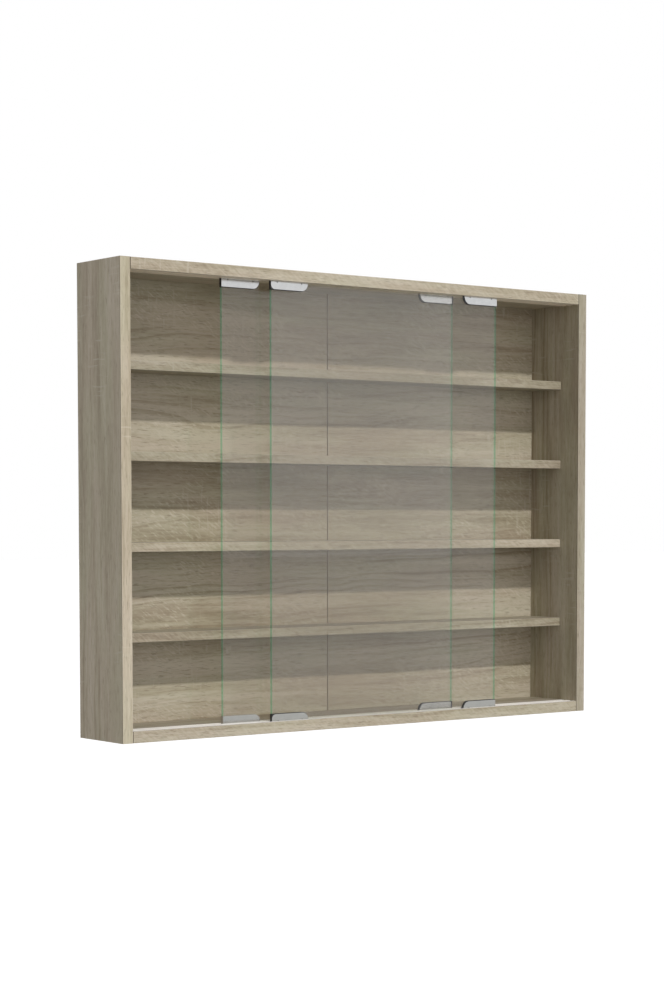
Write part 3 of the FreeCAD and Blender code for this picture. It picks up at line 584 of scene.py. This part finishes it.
def oak_decor(shader, grain, across, shift, tone=1.0, hatch=0.0, sheet=False):
    """Colour, height and roughness of the oak decor.

    Each board shows another stretch of the decor, set by the shift, a little paler or darker, set by
    the tone. The hatch is the strength of the sloping strokes. A sheet, as on the back, has broader and
    stronger clouds than a board, and its strokes come in patches.
    """
    oak = settings().oak
    place = shader.place()
    colours = [toned(colour, tone) for colour in (oak.dark, oak.middle, oak.pale)]
    pale = colours[2]

    def layer(counts, detail, roughness=0.5, distortion=0.0):
        moved = shader.stretch(place, along_grain(grain, counts), shift)
        return shader.noise(moved, detail, roughness, distortion)

    cloud = layer(SHEET_CLOUD if sheet else CLOUD, 2.0, 0.5, 0.3)
    streak = layer(STREAK, 4.0, 0.6, 0.5)
    fibre = layer(FIBRE, 3.0, 0.62)
    fleck = layer(FLECK, 2.0, 0.6)
    pore = shader.step(layer(PORE, 2.0), *PORE_STEP)

    # Growth rings: a slow rise and a sudden end of the dark late wood, bent by two noises
    rings = shader.times(shader.axes(place)["XYZ".index(across)], RING_COUNT)
    rings = shader.more(layer(RING_WANDER, 1.0), WANDER_REACH, rings)
    rings = shader.more(layer(RING_WOBBLE, 2.0), WOBBLE_REACH, rings)
    turn = shader.math("FRACT", rings)
    year = shader.node("ShaderNodeTexWhiteNoise", {"W": shader.math("FLOOR", rings)}, noise_dimensions="1D")
    late = shader.times(shader.step(turn, *LATE_RISE), shader.step(turn, *LATE_END))
    late = shader.times(late, shader.step(year.outputs["Value"], *YEAR_STEP))
    late = shader.times(late, shader.step(layer(RING_BAND, 1.0), *RING_BAND_STEP))

    cloud_reach = SHEET_CLOUD_REACH if sheet else CLOUD_REACH
    shade = shader.more(cloud, cloud_reach, SHADE_START - cloud_reach / 2)
    patterns = ((streak, STREAK_REACH), (fibre, FIBRE_REACH), (fleck, FLECK_REACH), (late, LATE_REACH))
    for pattern, reach in patterns:
        shade = shader.more(pattern, reach, shade)
    if hatch:
        sloping = shader.node("ShaderNodeMapping", {"Vector": place, "Rotation": (0, HATCH_SLOPE, 0)})
        strokes = shader.noise(shader.stretch(sloping.outputs[0], along_grain("X", HATCH), shift), 2.0, 0.6)
        if sheet:
            strokes = shader.times(shader.step(strokes, *HATCH_STEP),
                                   shader.step(layer(HATCH_PATCH, 1.0), *HATCH_PATCH_STEP))
        else:
            strokes = shader.math("SUBTRACT", strokes, 0.5)
        shade = shader.more(strokes, hatch, shade)
    colour = shader.ramp(shade, list(zip(SHADE_STOPS, colours)))
    hue = shader.step(layer(HUE, 3.0), *HUE_STEP)
    colour = shader.mix(1.0, colour, shader.mix(hue, GREENISH, PINKISH), "MULTIPLY")

    # Saw marks: short pale strokes across the grain, in patches
    saw = shader.step(layer(SAW_MARK, 1.0), *SAW_STEP)
    patch = shader.times(shader.step(layer(SAW_PATCH, 1.0), *SAW_PATCH_STEP), oak.saw_marks)
    colour = shader.mix(shader.times(saw, patch), colour, pale)
    colour = shader.mix(shader.times(pore, PORE_SHARE), colour, toned(oak.pore, tone))
    height = shader.math("SUBTRACT", shader.times(fibre, 0.5), pore)
    rough = shader.more(fibre, FIBRE_GLOSS, oak.roughness - FIBRE_GLOSS / 2)
    return colour, height, rough


# Raw and moulded materials: their colours, from dark to pale
CHIP_COLOURS = ((0.2, 0.125, 0.07), (0.5, 0.38, 0.245))
DUST_COLOUR = (0.38, 0.28, 0.17)
FELT_COLOURS = ((0.15, 0.09, 0.048), (0.255, 0.162, 0.09), (0.37, 0.25, 0.147))
SPLINTER_COLOUR = (0.47, 0.34, 0.21)
SCUFF_COLOUR = (0.42, 0.31, 0.2)
TAPE_COLOURS = ((0.15, 0.1, 0.058), (0.31, 0.215, 0.13))
CREASE_COLOUR = (0.36, 0.27, 0.175)
BEECH_COLOURS = ((0.42, 0.26, 0.135), (0.68, 0.49, 0.3))
CAST_COLOURS = ((0.36, 0.36, 0.37), (0.55, 0.55, 0.56))

# How many features their patterns have per metre, along X, Y and Z or every way
CHIPS = 420.0
SPANGLES = 700.0
DUST = (900.0, 900.0, 900.0)
FELT = (260.0, 260.0, 260.0)
MOTTLE = (11.0, 11.0, 16.0)
SPLINTERS = (55.0, 200.0, 420.0)
SCUFFS = (5.0, 5.0, 160.0)
CREPE = (120.0, 120.0, 1400.0)
CREASES = (26.0, 26.0, 9.0)
DRAW_LINES = (3.0, 2600.0, 2600.0)
TRACK_CLOUDS = (9.0, 60.0, 60.0)
SCRATCHES = (90.0, 2000.0, 90.0)
SHOE_LINES = (30.0, 1500.0, 1500.0)
HAZE = (120.0, 120.0, 120.0)
LINER_GRAIN = (1800.0, 1800.0, 1800.0)
BEECH_GRAIN = (40.0, 700.0, 700.0)
CAST = (900.0, 900.0, 900.0)

# How deep their reliefs are
TAPE_RELIEF = 0.06 * MM
TRACK_RELIEF = 0.04 * MM
SCRATCH_RELIEF = 0.03 * MM
SHOE_RELIEF = 0.004 * MM
LINER_RELIEF = 0.02 * MM
BEECH_RELIEF = 0.08 * MM
CAST_RELIEF = 0.06 * MM

# How rough they are
CHIP_ROUGHNESS = 0.85
FELT_ROUGHNESS = 0.8
LINER_ROUGHNESS = 0.5
BEECH_ROUGHNESS = 0.7
EDGE_ROUGHNESS = 0.35

# A face's finish reaches this deep
FACE_DEPTH = 0.05 * MM


def chipboard(shader):
    """Raw chipboard, as on sawn edges: pale and brown chips of different sizes."""
    shade = shader.cells(CHIPS)
    colour = shader.mix(shade, *CHIP_COLOURS)
    colour = shader.mix(shader.times(shader.pattern(DUST, 2.0), 0.5), colour, DUST_COLOUR)
    return colour, shade


def off_middle(shader, node_name, axis):
    """How far a point lies from a node's middle along an axis, and half the node's size there."""
    low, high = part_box(node_name)
    index = "XYZ".index(axis)
    middle = (low[index] + high[index]) / 2
    away = shader.math("ABSOLUTE", shader.math("SUBTRACT", shader.axes(shader.place())[index], middle))
    return away, (high[index] - low[index]) / 2


def on_planes(shader, node_name, axis):
    """1 on the two outer faces of a node that look along an axis, 0 between them."""
    away, half = off_middle(shader, node_name, axis)
    return shader.math("GREATER_THAN", away, half - FACE_DEPTH)


def board_shift(index):
    """A stretch of the decor that no other board shows."""
    return (1.37 * index + 0.21, 2.71 * index + 0.4, 0.83 * index + 0.13)


def board_material(name, grain, index, faces, tone=1.0):
    """Oak decor on a board's faces that look along the named axes, raw chipboard everywhere else."""
    shader = Shader(f"oak_{name}")
    colour, height, rough = oak_decor(shader, grain, "Y", board_shift(index), tone)
    shown = on_planes(shader, name, faces[0])
    for axis in faces[1:]:
        shown = shader.math("MAXIMUM", shown, on_planes(shader, name, axis))
    raw, chips = chipboard(shader)
    colour = shader.mix(shown, raw, colour)
    normal = shader.bump(shader.between(shown, chips, height), settings().oak.pore_depth)
    rough = shader.between(shown, CHIP_ROUGHNESS, rough)
    return shader.surface(Base_Color=colour, Roughness=rough, Normal=normal,
                          Specular_IOR_Level=settings().oak.sheen)


def band_material(board, index, tone):
    """Oak decor on an edge band, rubbed paler along its long edges, with its plain core where it is milled,
    painted dark for the shade in the joints.

    A painted dark line of shade shows where the bands of top and bottom meet the right side.
    """
    oak = settings().oak
    name = f"{board}_band"
    grain, across, hatch = ("Z", "X", 0.0) if board in SIDE_BOARDS else ("X", "Z", BAND_HATCH)
    shader = Shader(f"oak_{name}")
    colour, height, rough = oak_decor(shader, grain, across, board_shift(index), tone, hatch)
    away, half = off_middle(shader, name, across)
    rubbed = shader.times(shader.step(away, half - oak.rubbed_edge, half), RUBBED_SHARE)
    colour = shader.mix(rubbed, colour, toned(oak.pale, tone))
    milled = shader.math("MAXIMUM", on_planes(shader, name, "X"), on_planes(shader, name, "Z"))
    # The milled faces take the core's dark colour, which also paints the shade in the joints
    colour = shader.mix(milled, colour, oak.core)
    # Painted shade: a dark line at the right end of the top and bottom bands, where they meet the right side
    if board in TOP_AND_BOTTOM:
        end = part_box(name)[1].x
        line = shader.step(shader.axes(shader.place())[0], end - oak.glue_line, end - oak.glue_line / 2)
        colour = shader.mix(line, colour, oak.glue)
    return shader.surface(Base_Color=colour, Roughness=rough, Normal=shader.bump(height, oak.pore_depth),
                          Specular_IOR_Level=oak.sheen)


class CaseBoards(bpy.types.Operator):
    """Finish the sides, top, bottom and shelves: oak decor on their faces, chipboard where they are cut"""

    bl_idname = "cabinet.case_boards"
    bl_label = "Case boards"

    def execute(self, context):
        for index, name in enumerate(SIDE_BOARDS):
            dress(name, board_material(name, "Z", index, "XZ"))
        for index, name in enumerate(LEVEL_BOARDS, start=len(SIDE_BOARDS)):
            # The bottom board and the shelves take painted shade, a darker tone than the top board
            tone = 1.0 if name == "top_board" else PAINTED_SHELF_SHADE
            dress(name, board_material(name, "X", index, "Z", tone))
        return {"FINISHED"}


class EdgeBands(bpy.types.Operator):
    """Finish the edge bands, with the grain along each edge"""

    bl_idname = "cabinet.edge_bands"
    bl_label = "Edge bands"

    def execute(self, context):
        for index, (board, tone) in enumerate(BAND_TONES.items(), start=20):
            dress(f"{board}_band", band_material(board, index, tone))
        return {"FINISHED"}


def fibreboard(shader):
    """The raw side of a fibreboard: matted fibres, uneven in tone, with a few pale splinters and scuffs."""
    felt = shader.pattern(FELT, 4.0, 0.7)
    shade = shader.more(felt, 0.75, -0.35)
    shade = shader.more(shader.pattern(MOTTLE, 4.0, 0.6), 0.9, shade)
    colour = shader.ramp(shade, list(zip(SHADE_STOPS, FELT_COLOURS)))
    splinters = shader.step(shader.pattern(SPLINTERS, 2.0, 0.5, 0.8), 0.62, 0.72)
    colour = shader.mix(shader.times(splinters, 0.55), colour, SPLINTER_COLOUR)
    scuffs = shader.step(shader.pattern(SCUFFS, 3.0, 0.6, 0.4), 0.64, 0.74)
    colour = shader.mix(shader.times(scuffs, 0.3), colour, SCUFF_COLOUR)
    return colour, felt


class BackPanels(bpy.types.Operator):
    """Finish the two back panels, brown fibreboard behind their oak decor, and the tape over their seam"""

    bl_idname = "cabinet.back_panels"
    bl_label = "Back panels"

    def execute(self, context):
        oak = settings().oak
        for name in BACK_PANELS:
            shader = Shader(f"oak_{name}")
            colour, height, rough = oak_decor(shader, "X", "Z", board_shift(SHEET_STRETCH), SHEET_TONE,
                                               SHEET_HATCH, sheet=True)
            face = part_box(name)[0].y
            front = shader.math("LESS_THAN", shader.axes(shader.place())[1], face + FACE_DEPTH)
            raw, felt = fibreboard(shader)
            colour = shader.mix(front, raw, colour)
            rough = shader.between(front, FELT_ROUGHNESS, rough)
            normal = shader.bump(shader.between(front, felt, height), oak.pore_depth)
            dress(name, shader.surface(Base_Color=colour, Roughness=rough, Normal=normal,
                                       Specular_IOR_Level=oak.sheen))
        dress("back_seam_tape", self.tape())
        return {"FINISHED"}

    def tape(self):
        """Brown paper tape, creped across and creased."""
        shader = Shader("seam_tape")
        crepe = shader.pattern(CREPE, 3.0, 0.6)
        creases = shader.pattern(CREASES, 3.0, 0.6, 1.5)
        crease = shader.times(shader.step(creases, 0.44, 0.5), shader.step(creases, 0.56, 0.5))
        colour = shader.mix(crepe, *TAPE_COLOURS)
        colour = shader.mix(shader.times(crease, 0.45), colour, CREASE_COLOUR)
        height = shader.more(crease, 0.8, crepe)
        return shader.surface(Base_Color=colour, Roughness=shader.more(crepe, 0.2, 0.5),
                              Normal=shader.bump(height, TAPE_RELIEF))


class Tracks(bpy.types.Operator):
    """Finish the plastic tracks, with the fine draw lines of an extrusion"""

    bl_idname = "cabinet.tracks"
    bl_label = "Tracks"

    def execute(self, context):
        fittings = settings().fittings
        for level, colour in zip(LEVELS, (fittings.bottom_track, fittings.top_track)):
            shader = Shader(f"{level}_track_plastic")
            lines = shader.pattern(DRAW_LINES, 2.0, 0.6)
            clouds = shader.step(shader.pattern(TRACK_CLOUDS, 3.0), 0.35, 0.7)
            tone = shader.mix(clouds, toned(colour, 0.9), colour)
            rough = shader.more(lines, 0.2, 0.32)
            dress(f"{level}_track", shader.surface(Base_Color=tone, Roughness=rough,
                                                   Normal=shader.bump(lines, TRACK_RELIEF)))
        return {"FINISHED"}


def pane_glass():
    """Clear glass that lets lamps and bounced light straight through, so that what is behind stays lit."""
    glass = settings().glass
    shader = Shader("pane_glass")
    clear = shader.node("ShaderNodeBsdfPrincipled",
                        {"Base Color": glass.tint, "Roughness": 0.0, "IOR": glass.ior,
                         "Transmission Weight": 1.0, "Coat Weight": 1.0, "Coat Roughness": 0.0,
                         "Coat IOR": glass.polish_ior})
    passing = shader.node("ShaderNodeBsdfTransparent", {"Color": glass.tint})
    both = shader.seen_by(("Is Shadow Ray", "Is Diffuse Ray"), clear.outputs[0], passing.outputs[0])
    return shader.end(both)


def glass_edge():
    """The ground edge of a pane: clear green, with a dull and finely scratched surface."""
    glass = settings().glass
    shader = Shader("glass_edge")
    scratch = shader.pattern(SCRATCHES, 3.0, 0.6)
    tone = shader.mix(shader.step(scratch, 0.3, 0.7), toned(glass.frost, 0.6), glass.frost)
    frost = shader.node("ShaderNodeBsdfPrincipled",
                        {"Base Color": tone, "Roughness": EDGE_ROUGHNESS,
                         "Normal": shader.bump(scratch, SCRATCH_RELIEF)})
    passing = shader.node("ShaderNodeBsdfTransparent", {"Color": glass.edge})
    both = shader.node("ShaderNodeMixShader", {0: glass.frosting, 1: passing.outputs[0], 2: frost.outputs[0]})
    return shader.end(both.outputs[0])


def pane_mesh(name, low, high, arris):
    """A sheet of glass with ground edges: slot 0 on its two faces, slot 1 on its edges."""
    sheet = bmesh.new()
    corners = [sheet.verts.new((x, y, z)) for x in (low.x, high.x) for y in (low.y, high.y)
               for z in (low.z, high.z)]
    bmesh.ops.convex_hull(sheet, input=corners)
    bmesh.ops.dissolve_limit(sheet, angle_limit=math.radians(1), verts=sheet.verts[:], edges=sheet.edges[:])
    bmesh.ops.bevel(sheet, geom=sheet.edges[:], offset=arris, segments=1, affect="EDGES", profile=0.5)
    bmesh.ops.recalc_face_normals(sheet, faces=sheet.faces[:])
    for face in sheet.faces:
        face.material_index = 0 if abs(face.normal.y) > 0.999 else 1
    mesh = bpy.data.meshes.new(name)
    sheet.to_mesh(mesh)
    sheet.free()
    return mesh


class Panes(bpy.types.Operator):
    """Make the two sliding panes: clear faces and green ground edges"""

    bl_idname = "cabinet.panes"
    bl_label = "Panes"

    def execute(self, context):
        clear = pane_glass()
        edge = glass_edge()
        for pane in PANES:
            node_name = f"{pane}_pane_glass"
            low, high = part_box(node_name)
            mesh = pane_mesh(f"{pane}_pane_sheet", low, high, settings().glass.arris)
            mesh.materials.append(clear)
            mesh.materials.append(edge)
            piece = bpy.data.objects.new(f"{pane}_pane_sheet", mesh)
            context.scene.collection.objects.link(piece)
            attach(piece, f"{pane}_pane")
            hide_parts(node_name)
        return {"FINISHED"}


def shoe_metal(name, colour):
    """Plated metal with fine drawing lines and a slight haze."""
    shader = Shader(name)
    drawn = shader.pattern(SHOE_LINES, 3.0, 0.6)
    haze = shader.step(shader.pattern(HAZE, 3.0), 0.3, 0.75)
    tone = shader.mix(haze, colour, toned(colour, 0.94))
    rough = shader.more(drawn, 0.12, settings().fittings.shoe_roughness - 0.06)
    return shader.surface(Base_Color=tone, Metallic=1.0, Roughness=rough,
                          Normal=shader.bump(drawn, SHOE_RELIEF))


def liner_plastic(name, colour):
    """Moulded plastic with a fine grain."""
    shader = Shader(name)
    grain = shader.pattern(LINER_GRAIN, 2.0)
    tone = shader.mix(grain, colour, [part + 0.02 for part in colour])
    return shader.surface(Base_Color=tone, Roughness=LINER_ROUGHNESS, Normal=shader.bump(grain, LINER_RELIEF))


class Shoes(bpy.types.Operator):
    """Finish the metal shoes and their plastic liners"""

    bl_idname = "cabinet.shoes"
    bl_label = "Shoes and liners"

    def execute(self, context):
        fittings = settings().fittings
        # The shoes below take a darker copy of the metal, a painted darker reflection
        metals = {"bottom": shoe_metal("bottom_shoe_metal", fittings.bottom_shoe),
                  "top": shoe_metal("top_shoe_metal", fittings.top_shoe)}
        dark = liner_plastic("liner_plastic", fittings.liner)
        pale = liner_plastic("pale_liner_plastic", fittings.pale_liner)
        for pane in PANES:
            for level in LEVELS:
                for end in ENDS:
                    dress(f"{pane}_shoe_{level}_{end}", metals[level])
                    liner = f"{pane}_liner_{level}_{end}"
                    dress(liner, pale if liner == PALE_LINER else dark)
        return {"FINISHED"}


def zinc_plate(name):
    """Zinc plate on steel: small crystals that differ in tone and gloss."""
    zinc = settings().fittings.zinc
    shader = Shader(name)
    shade = shader.cells(SPANGLES)
    tone = shader.mix(shade, toned(zinc, 0.72), zinc)
    return shader.surface(Base_Color=tone, Metallic=1.0, Roughness=shader.more(shade, 0.18, 0.28))


def stand_for(piece, node_name):
    """Let a piece of the case take a node's place, if it stands where the node does."""
    places = [vertex.co for vertex in piece.data.vertices]
    corners = [Vector([pick(place[axis] for place in places) for axis in range(3)]) for pick in (min, max)]
    for corner, wanted in zip(corners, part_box(node_name)):
        if (corner - Vector(wanted)).length > STAND_TOLERANCE:
            raise RuntimeError(f"{piece.name} doesn't stand where {node_name} does")
    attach(piece, "case")
    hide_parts(node_name)


class BackNails(bpy.types.Operator):
    """Make the nails that hold the back panels: low crowned heads on plain shanks with short points"""

    bl_idname = "cabinet.back_nails"
    bl_label = "Back nails"

    def execute(self, context):
        sizes = settings().fasteners
        tree = Turnery("back_nails", {"Length": sizes.nail_length, "Radius": sizes.nail_radius,
                                      "Head radius": sizes.head_radius, "Head height": sizes.head_height})
        length, radius, head, height = (tree.given[label] for label in tree.sizes)
        stations = [(tree.times(height, rise), tree.times(head, width)) for rise, width in NAIL_CROWN]
        stations += [
            (0.0, head),
            (tree.times(height, NAIL_NECK), radius),
            (tree.more(length, -1.0, NAIL_POINT), radius),
            (tree.times(length, -1.0), tree.times(radius, NAIL_POINT_WIDTH)),
        ]
        tree.turn("Y", stations, tree.round_profile(NAIL_CORNERS), zinc_plate("nail_zinc"))
        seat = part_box("back_panel_left")[1].y
        spots = [(x * MM, seat, z * MM) for x, z in self.spots()]
        stand_for(tree.make("back_nail_set", spots), "back_nails")
        return {"FINISHED"}

    def spots(self):
        """Along the sides, along top and bottom, and into the shelves, in millimetres."""
        for x in (-NAIL_SIDE_X, NAIL_SIDE_X):
            for z in NAIL_SIDE_Z:
                yield x, z
        for z in NAIL_LEVEL_Z:
            for x in NAIL_LEVEL_X:
                yield -x, z
                yield x, z
        for shelf in SHELVES:
            low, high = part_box(shelf)
            for x in (-NAIL_SHELF_X, NAIL_SHELF_X):
                yield x, (low.z + high.z) / 2 / MM


class Dowels(bpy.types.Operator):
    """Make the fluted beech dowels between sides, top, bottom and shelves"""

    bl_idname = "cabinet.dowels"
    bl_label = "Dowels"

    def execute(self, context):
        sizes = settings().fasteners
        beech = self.beech()
        self.make("case_dowels", sizes.case_dowel_radius, sizes.case_dowel_length, TOP_AND_BOTTOM, beech)
        self.make("shelf_dowels", sizes.shelf_dowel_radius, sizes.shelf_dowel_length, SHELVES, beech)
        return {"FINISHED"}

    def beech(self):
        shader = Shader("beech_dowel")
        grain = shader.pattern(BEECH_GRAIN, 3.0, 0.6)
        return shader.surface(Base_Color=shader.mix(grain, *BEECH_COLOURS), Roughness=BEECH_ROUGHNESS,
                              Normal=shader.bump(grain, BEECH_RELIEF))

    def make(self, node_name, radius, length, boards, beech):
        sizes = settings().fasteners
        tree = Turnery(node_name, {"Length": length, "Radius": radius, "Chamfer": sizes.dowel_chamfer})
        whole, wide, chamfer = (tree.given[label] for label in tree.sizes)
        end = tree.times(whole, 0.5)
        shoulder = tree.math("SUBTRACT", end, chamfer)
        thin = tree.math("SUBTRACT", wide, chamfer)
        stations = (
            (tree.times(end, -1.0), thin),
            (tree.times(shoulder, -1.0), wide),
            (shoulder, wide),
            (end, thin),
        )
        tree.turn("X", stations, tree.fluted_profile(DOWEL_FLUTES, sizes.flute_depth), beech)
        low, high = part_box(node_name)
        levels = [(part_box(board)[0].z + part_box(board)[1].z) / 2 for board in boards]
        spots = [(side * (high.x - length / 2), row, level) for side in (-1, 1)
                 for row in (low.y + radius, high.y - radius) for level in levels]
        stand_for(tree.make(f"fluted_{node_name}", spots), node_name)


class Fittings(bpy.types.Operator):
    """Finish the hangers, screws and cam fittings"""

    bl_idname = "cabinet.fittings"
    bl_label = "Fittings"

    def execute(self, context):
        steel = zinc_plate("zinc_steel")
        for name in ("hanger_plate_left", "hanger_plate_right", "hanger_screws", "cam_bolts"):
            dress(name, steel)

        shader = Shader("cam_zinc")
        cast = shader.pattern(CAST, 3.0, 0.65)
        tone = shader.mix(cast, *CAST_COLOURS)
        rough = shader.more(cast, 0.25, 0.5)
        dress("cam_locks", shader.surface(Base_Color=tone, Metallic=1.0, Roughness=rough,
                                          Normal=shader.bump(cast, CAST_RELIEF)))
        return {"FINISHED"}


class Stage(bpy.types.Operator):
    """Set up the pale floor, the soft sky, the key light and the camera"""

    bl_idname = "cabinet.stage"
    bl_label = "Stage"

    def execute(self, context):
        scene = context.scene
        stage = settings().stage
        scene.view_settings.view_transform = "Standard"
        self.floor(scene, stage)
        self.light(scene, stage)
        self.camera(scene)
        return {"FINISHED"}

    def floor(self, scene, stage):
        shader = Shader("floor")
        matt = shader.node("ShaderNodeBsdfDiffuse", {"Color": stage.floor_colour})
        mirrored = shader.node("ShaderNodeBsdfDiffuse", {"Color": stage.floor_mirrored})
        paper = shader.node("ShaderNodeBsdfDiffuse", {"Color": PAPER})
        lift = shader.node("ShaderNodeEmission", {"Color": WHITE, "Strength": PAPER_LIFT})
        white = shader.node("ShaderNodeAddShader", {0: paper.outputs[0], 1: lift.outputs[0]})
        shown = shader.seen_by(MIRRORED_RAYS, matt.outputs[0], mirrored.outputs[0])
        shown = shader.seen_by(("Is Camera Ray",), shown, white.outputs[0])
        height = CAD_BOX[0][2] - stage.floor_drop
        corners = ((-1, -1), (1, -1), (1, 1), (-1, 1))
        mesh = bpy.data.meshes.new("floor")
        mesh.from_pydata([(FLOOR_HALF * x, FLOOR_HALF * y, height) for x, y in corners], [], [(0, 1, 2, 3)])
        mesh.materials.append(shader.end(shown))
        floor = bpy.data.objects.new("floor", mesh)
        scene.collection.objects.link(floor)

    def light(self, scene, stage):
        world = bpy.data.worlds.new("studio")
        world.use_nodes = True
        nodes = Nodes(world.node_tree)
        looking = nodes.node("ShaderNodeTexCoord").outputs["Generated"]
        height = nodes.node("ShaderNodeSeparateXYZ", {0: looking}).outputs["Z"]
        fade = nodes.node("ShaderNodeMapRange",
                          {"Value": height, "From Min": 0.0, "From Max": HORIZON_FADE,
                           "To Min": stage.horizon_strength, "To Max": stage.sky_strength},
                          interpolation_type="SMOOTHERSTEP")
        sky = nodes.tree.nodes["Background"]
        nodes.put(sky.inputs["Color"], WHITE)
        nodes.put(sky.inputs["Strength"], fade.outputs[0])
        white = nodes.node("ShaderNodeBackground", {"Color": WHITE})
        shown = nodes.seen_by(("Is Camera Ray", *MIRRORED_RAYS), sky.outputs[0], white.outputs[0])
        nodes.put(nodes.tree.nodes["World Output"].inputs["Surface"], shown)
        scene.world = world
        lamp = bpy.data.lights.new("key", "SUN")
        lamp.energy = stage.key_strength
        lamp.angle = stage.key_spread
        key = bpy.data.objects.new("key", lamp)
        key.rotation_euler = (math.pi / 2 - stage.key_height, 0, 0)
        scene.collection.objects.link(key)

    def camera(self, scene):
        lens = bpy.data.cameras.new("camera")
        lens.sensor_width = SENSOR
        longest = max(PHOTO_WIDTH, PHOTO_HEIGHT)
        lens.lens = FOCAL_PIXELS * SENSOR / longest
        lens.shift_x = (PHOTO_WIDTH / 2 - PRINCIPAL_POINT[0]) / longest
        lens.shift_y = (PRINCIPAL_POINT[1] - PHOTO_HEIGHT / 2) / longest
        lens.clip_end = CLIP_END
        camera = bpy.data.objects.new("camera", lens)
        camera.location = CAMERA_PLACE
        camera.rotation_euler = (CAMERA_PITCH, 0, CAMERA_YAW)
        scene.collection.objects.link(camera)
        scene.camera = camera


class CabinetSettings(bpy.types.PropertyGroup):
    """Everything that a user may change."""

    oak: PointerProperty(type=OakFinish, name="Oak", description="Oak-look melamine")
    glass: PointerProperty(type=GlassFinish, name="Glass", description="Sliding panes")
    fittings: PointerProperty(type=FittingFinish, name="Fittings", description="Plastic and metal fittings")
    fasteners: PointerProperty(type=FastenerSizes, name="Fasteners", description="Nails and dowels")
    stage: PointerProperty(type=StageSettings, name="Stage", description="Light and floor")


OPERATORS = (CaseBoards, EdgeBands, BackPanels, Tracks, Panes, Shoes, BackNails, Dowels, Fittings, Stage)


class CabinetPanel(bpy.types.Panel):
    """Lists the cabinet's pieces and the settings of their finishes."""

    bl_idname = "VIEW3D_PT_cabinet"
    bl_label = "Wall display cabinet"
    bl_space_type = "VIEW_3D"
    bl_region_type = "UI"
    bl_category = "Cabinet"

    def draw(self, context):
        layout = self.layout
        cabinet = settings()
        for group in (cabinet.oak, cabinet.glass, cabinet.fittings, cabinet.fasteners, cabinet.stage):
            column = layout.box().column()
            for name in group.__annotations__:
                column.prop(group, name)
        for operator in OPERATORS:
            layout.operator(operator.bl_idname)


GROUPS = (OakFinish, GlassFinish, FittingFinish, FastenerSizes, StageSettings, CabinetSettings)
CLASSES = GROUPS + OPERATORS + (CabinetPanel,)


def register():
    for kind in CLASSES:
        bpy.utils.register_class(kind)
    bpy.types.Scene.cabinet = PointerProperty(type=CabinetSettings, name="Cabinet",
                                              description="Settings of the wall display cabinet")


def unregister():
    del bpy.types.Scene.cabinet
    for kind in reversed(CLASSES):
        bpy.utils.unregister_class(kind)


def main():
    register()
    bpy.ops.cabinet.case_boards()
    bpy.ops.cabinet.edge_bands()
    bpy.ops.cabinet.back_panels()
    bpy.ops.cabinet.tracks()
    bpy.ops.cabinet.panes()
    bpy.ops.cabinet.shoes()
    bpy.ops.cabinet.back_nails()
    bpy.ops.cabinet.dowels()
    bpy.ops.cabinet.fittings()
    bpy.ops.cabinet.stage()


if __name__ == "__main__":
    main()
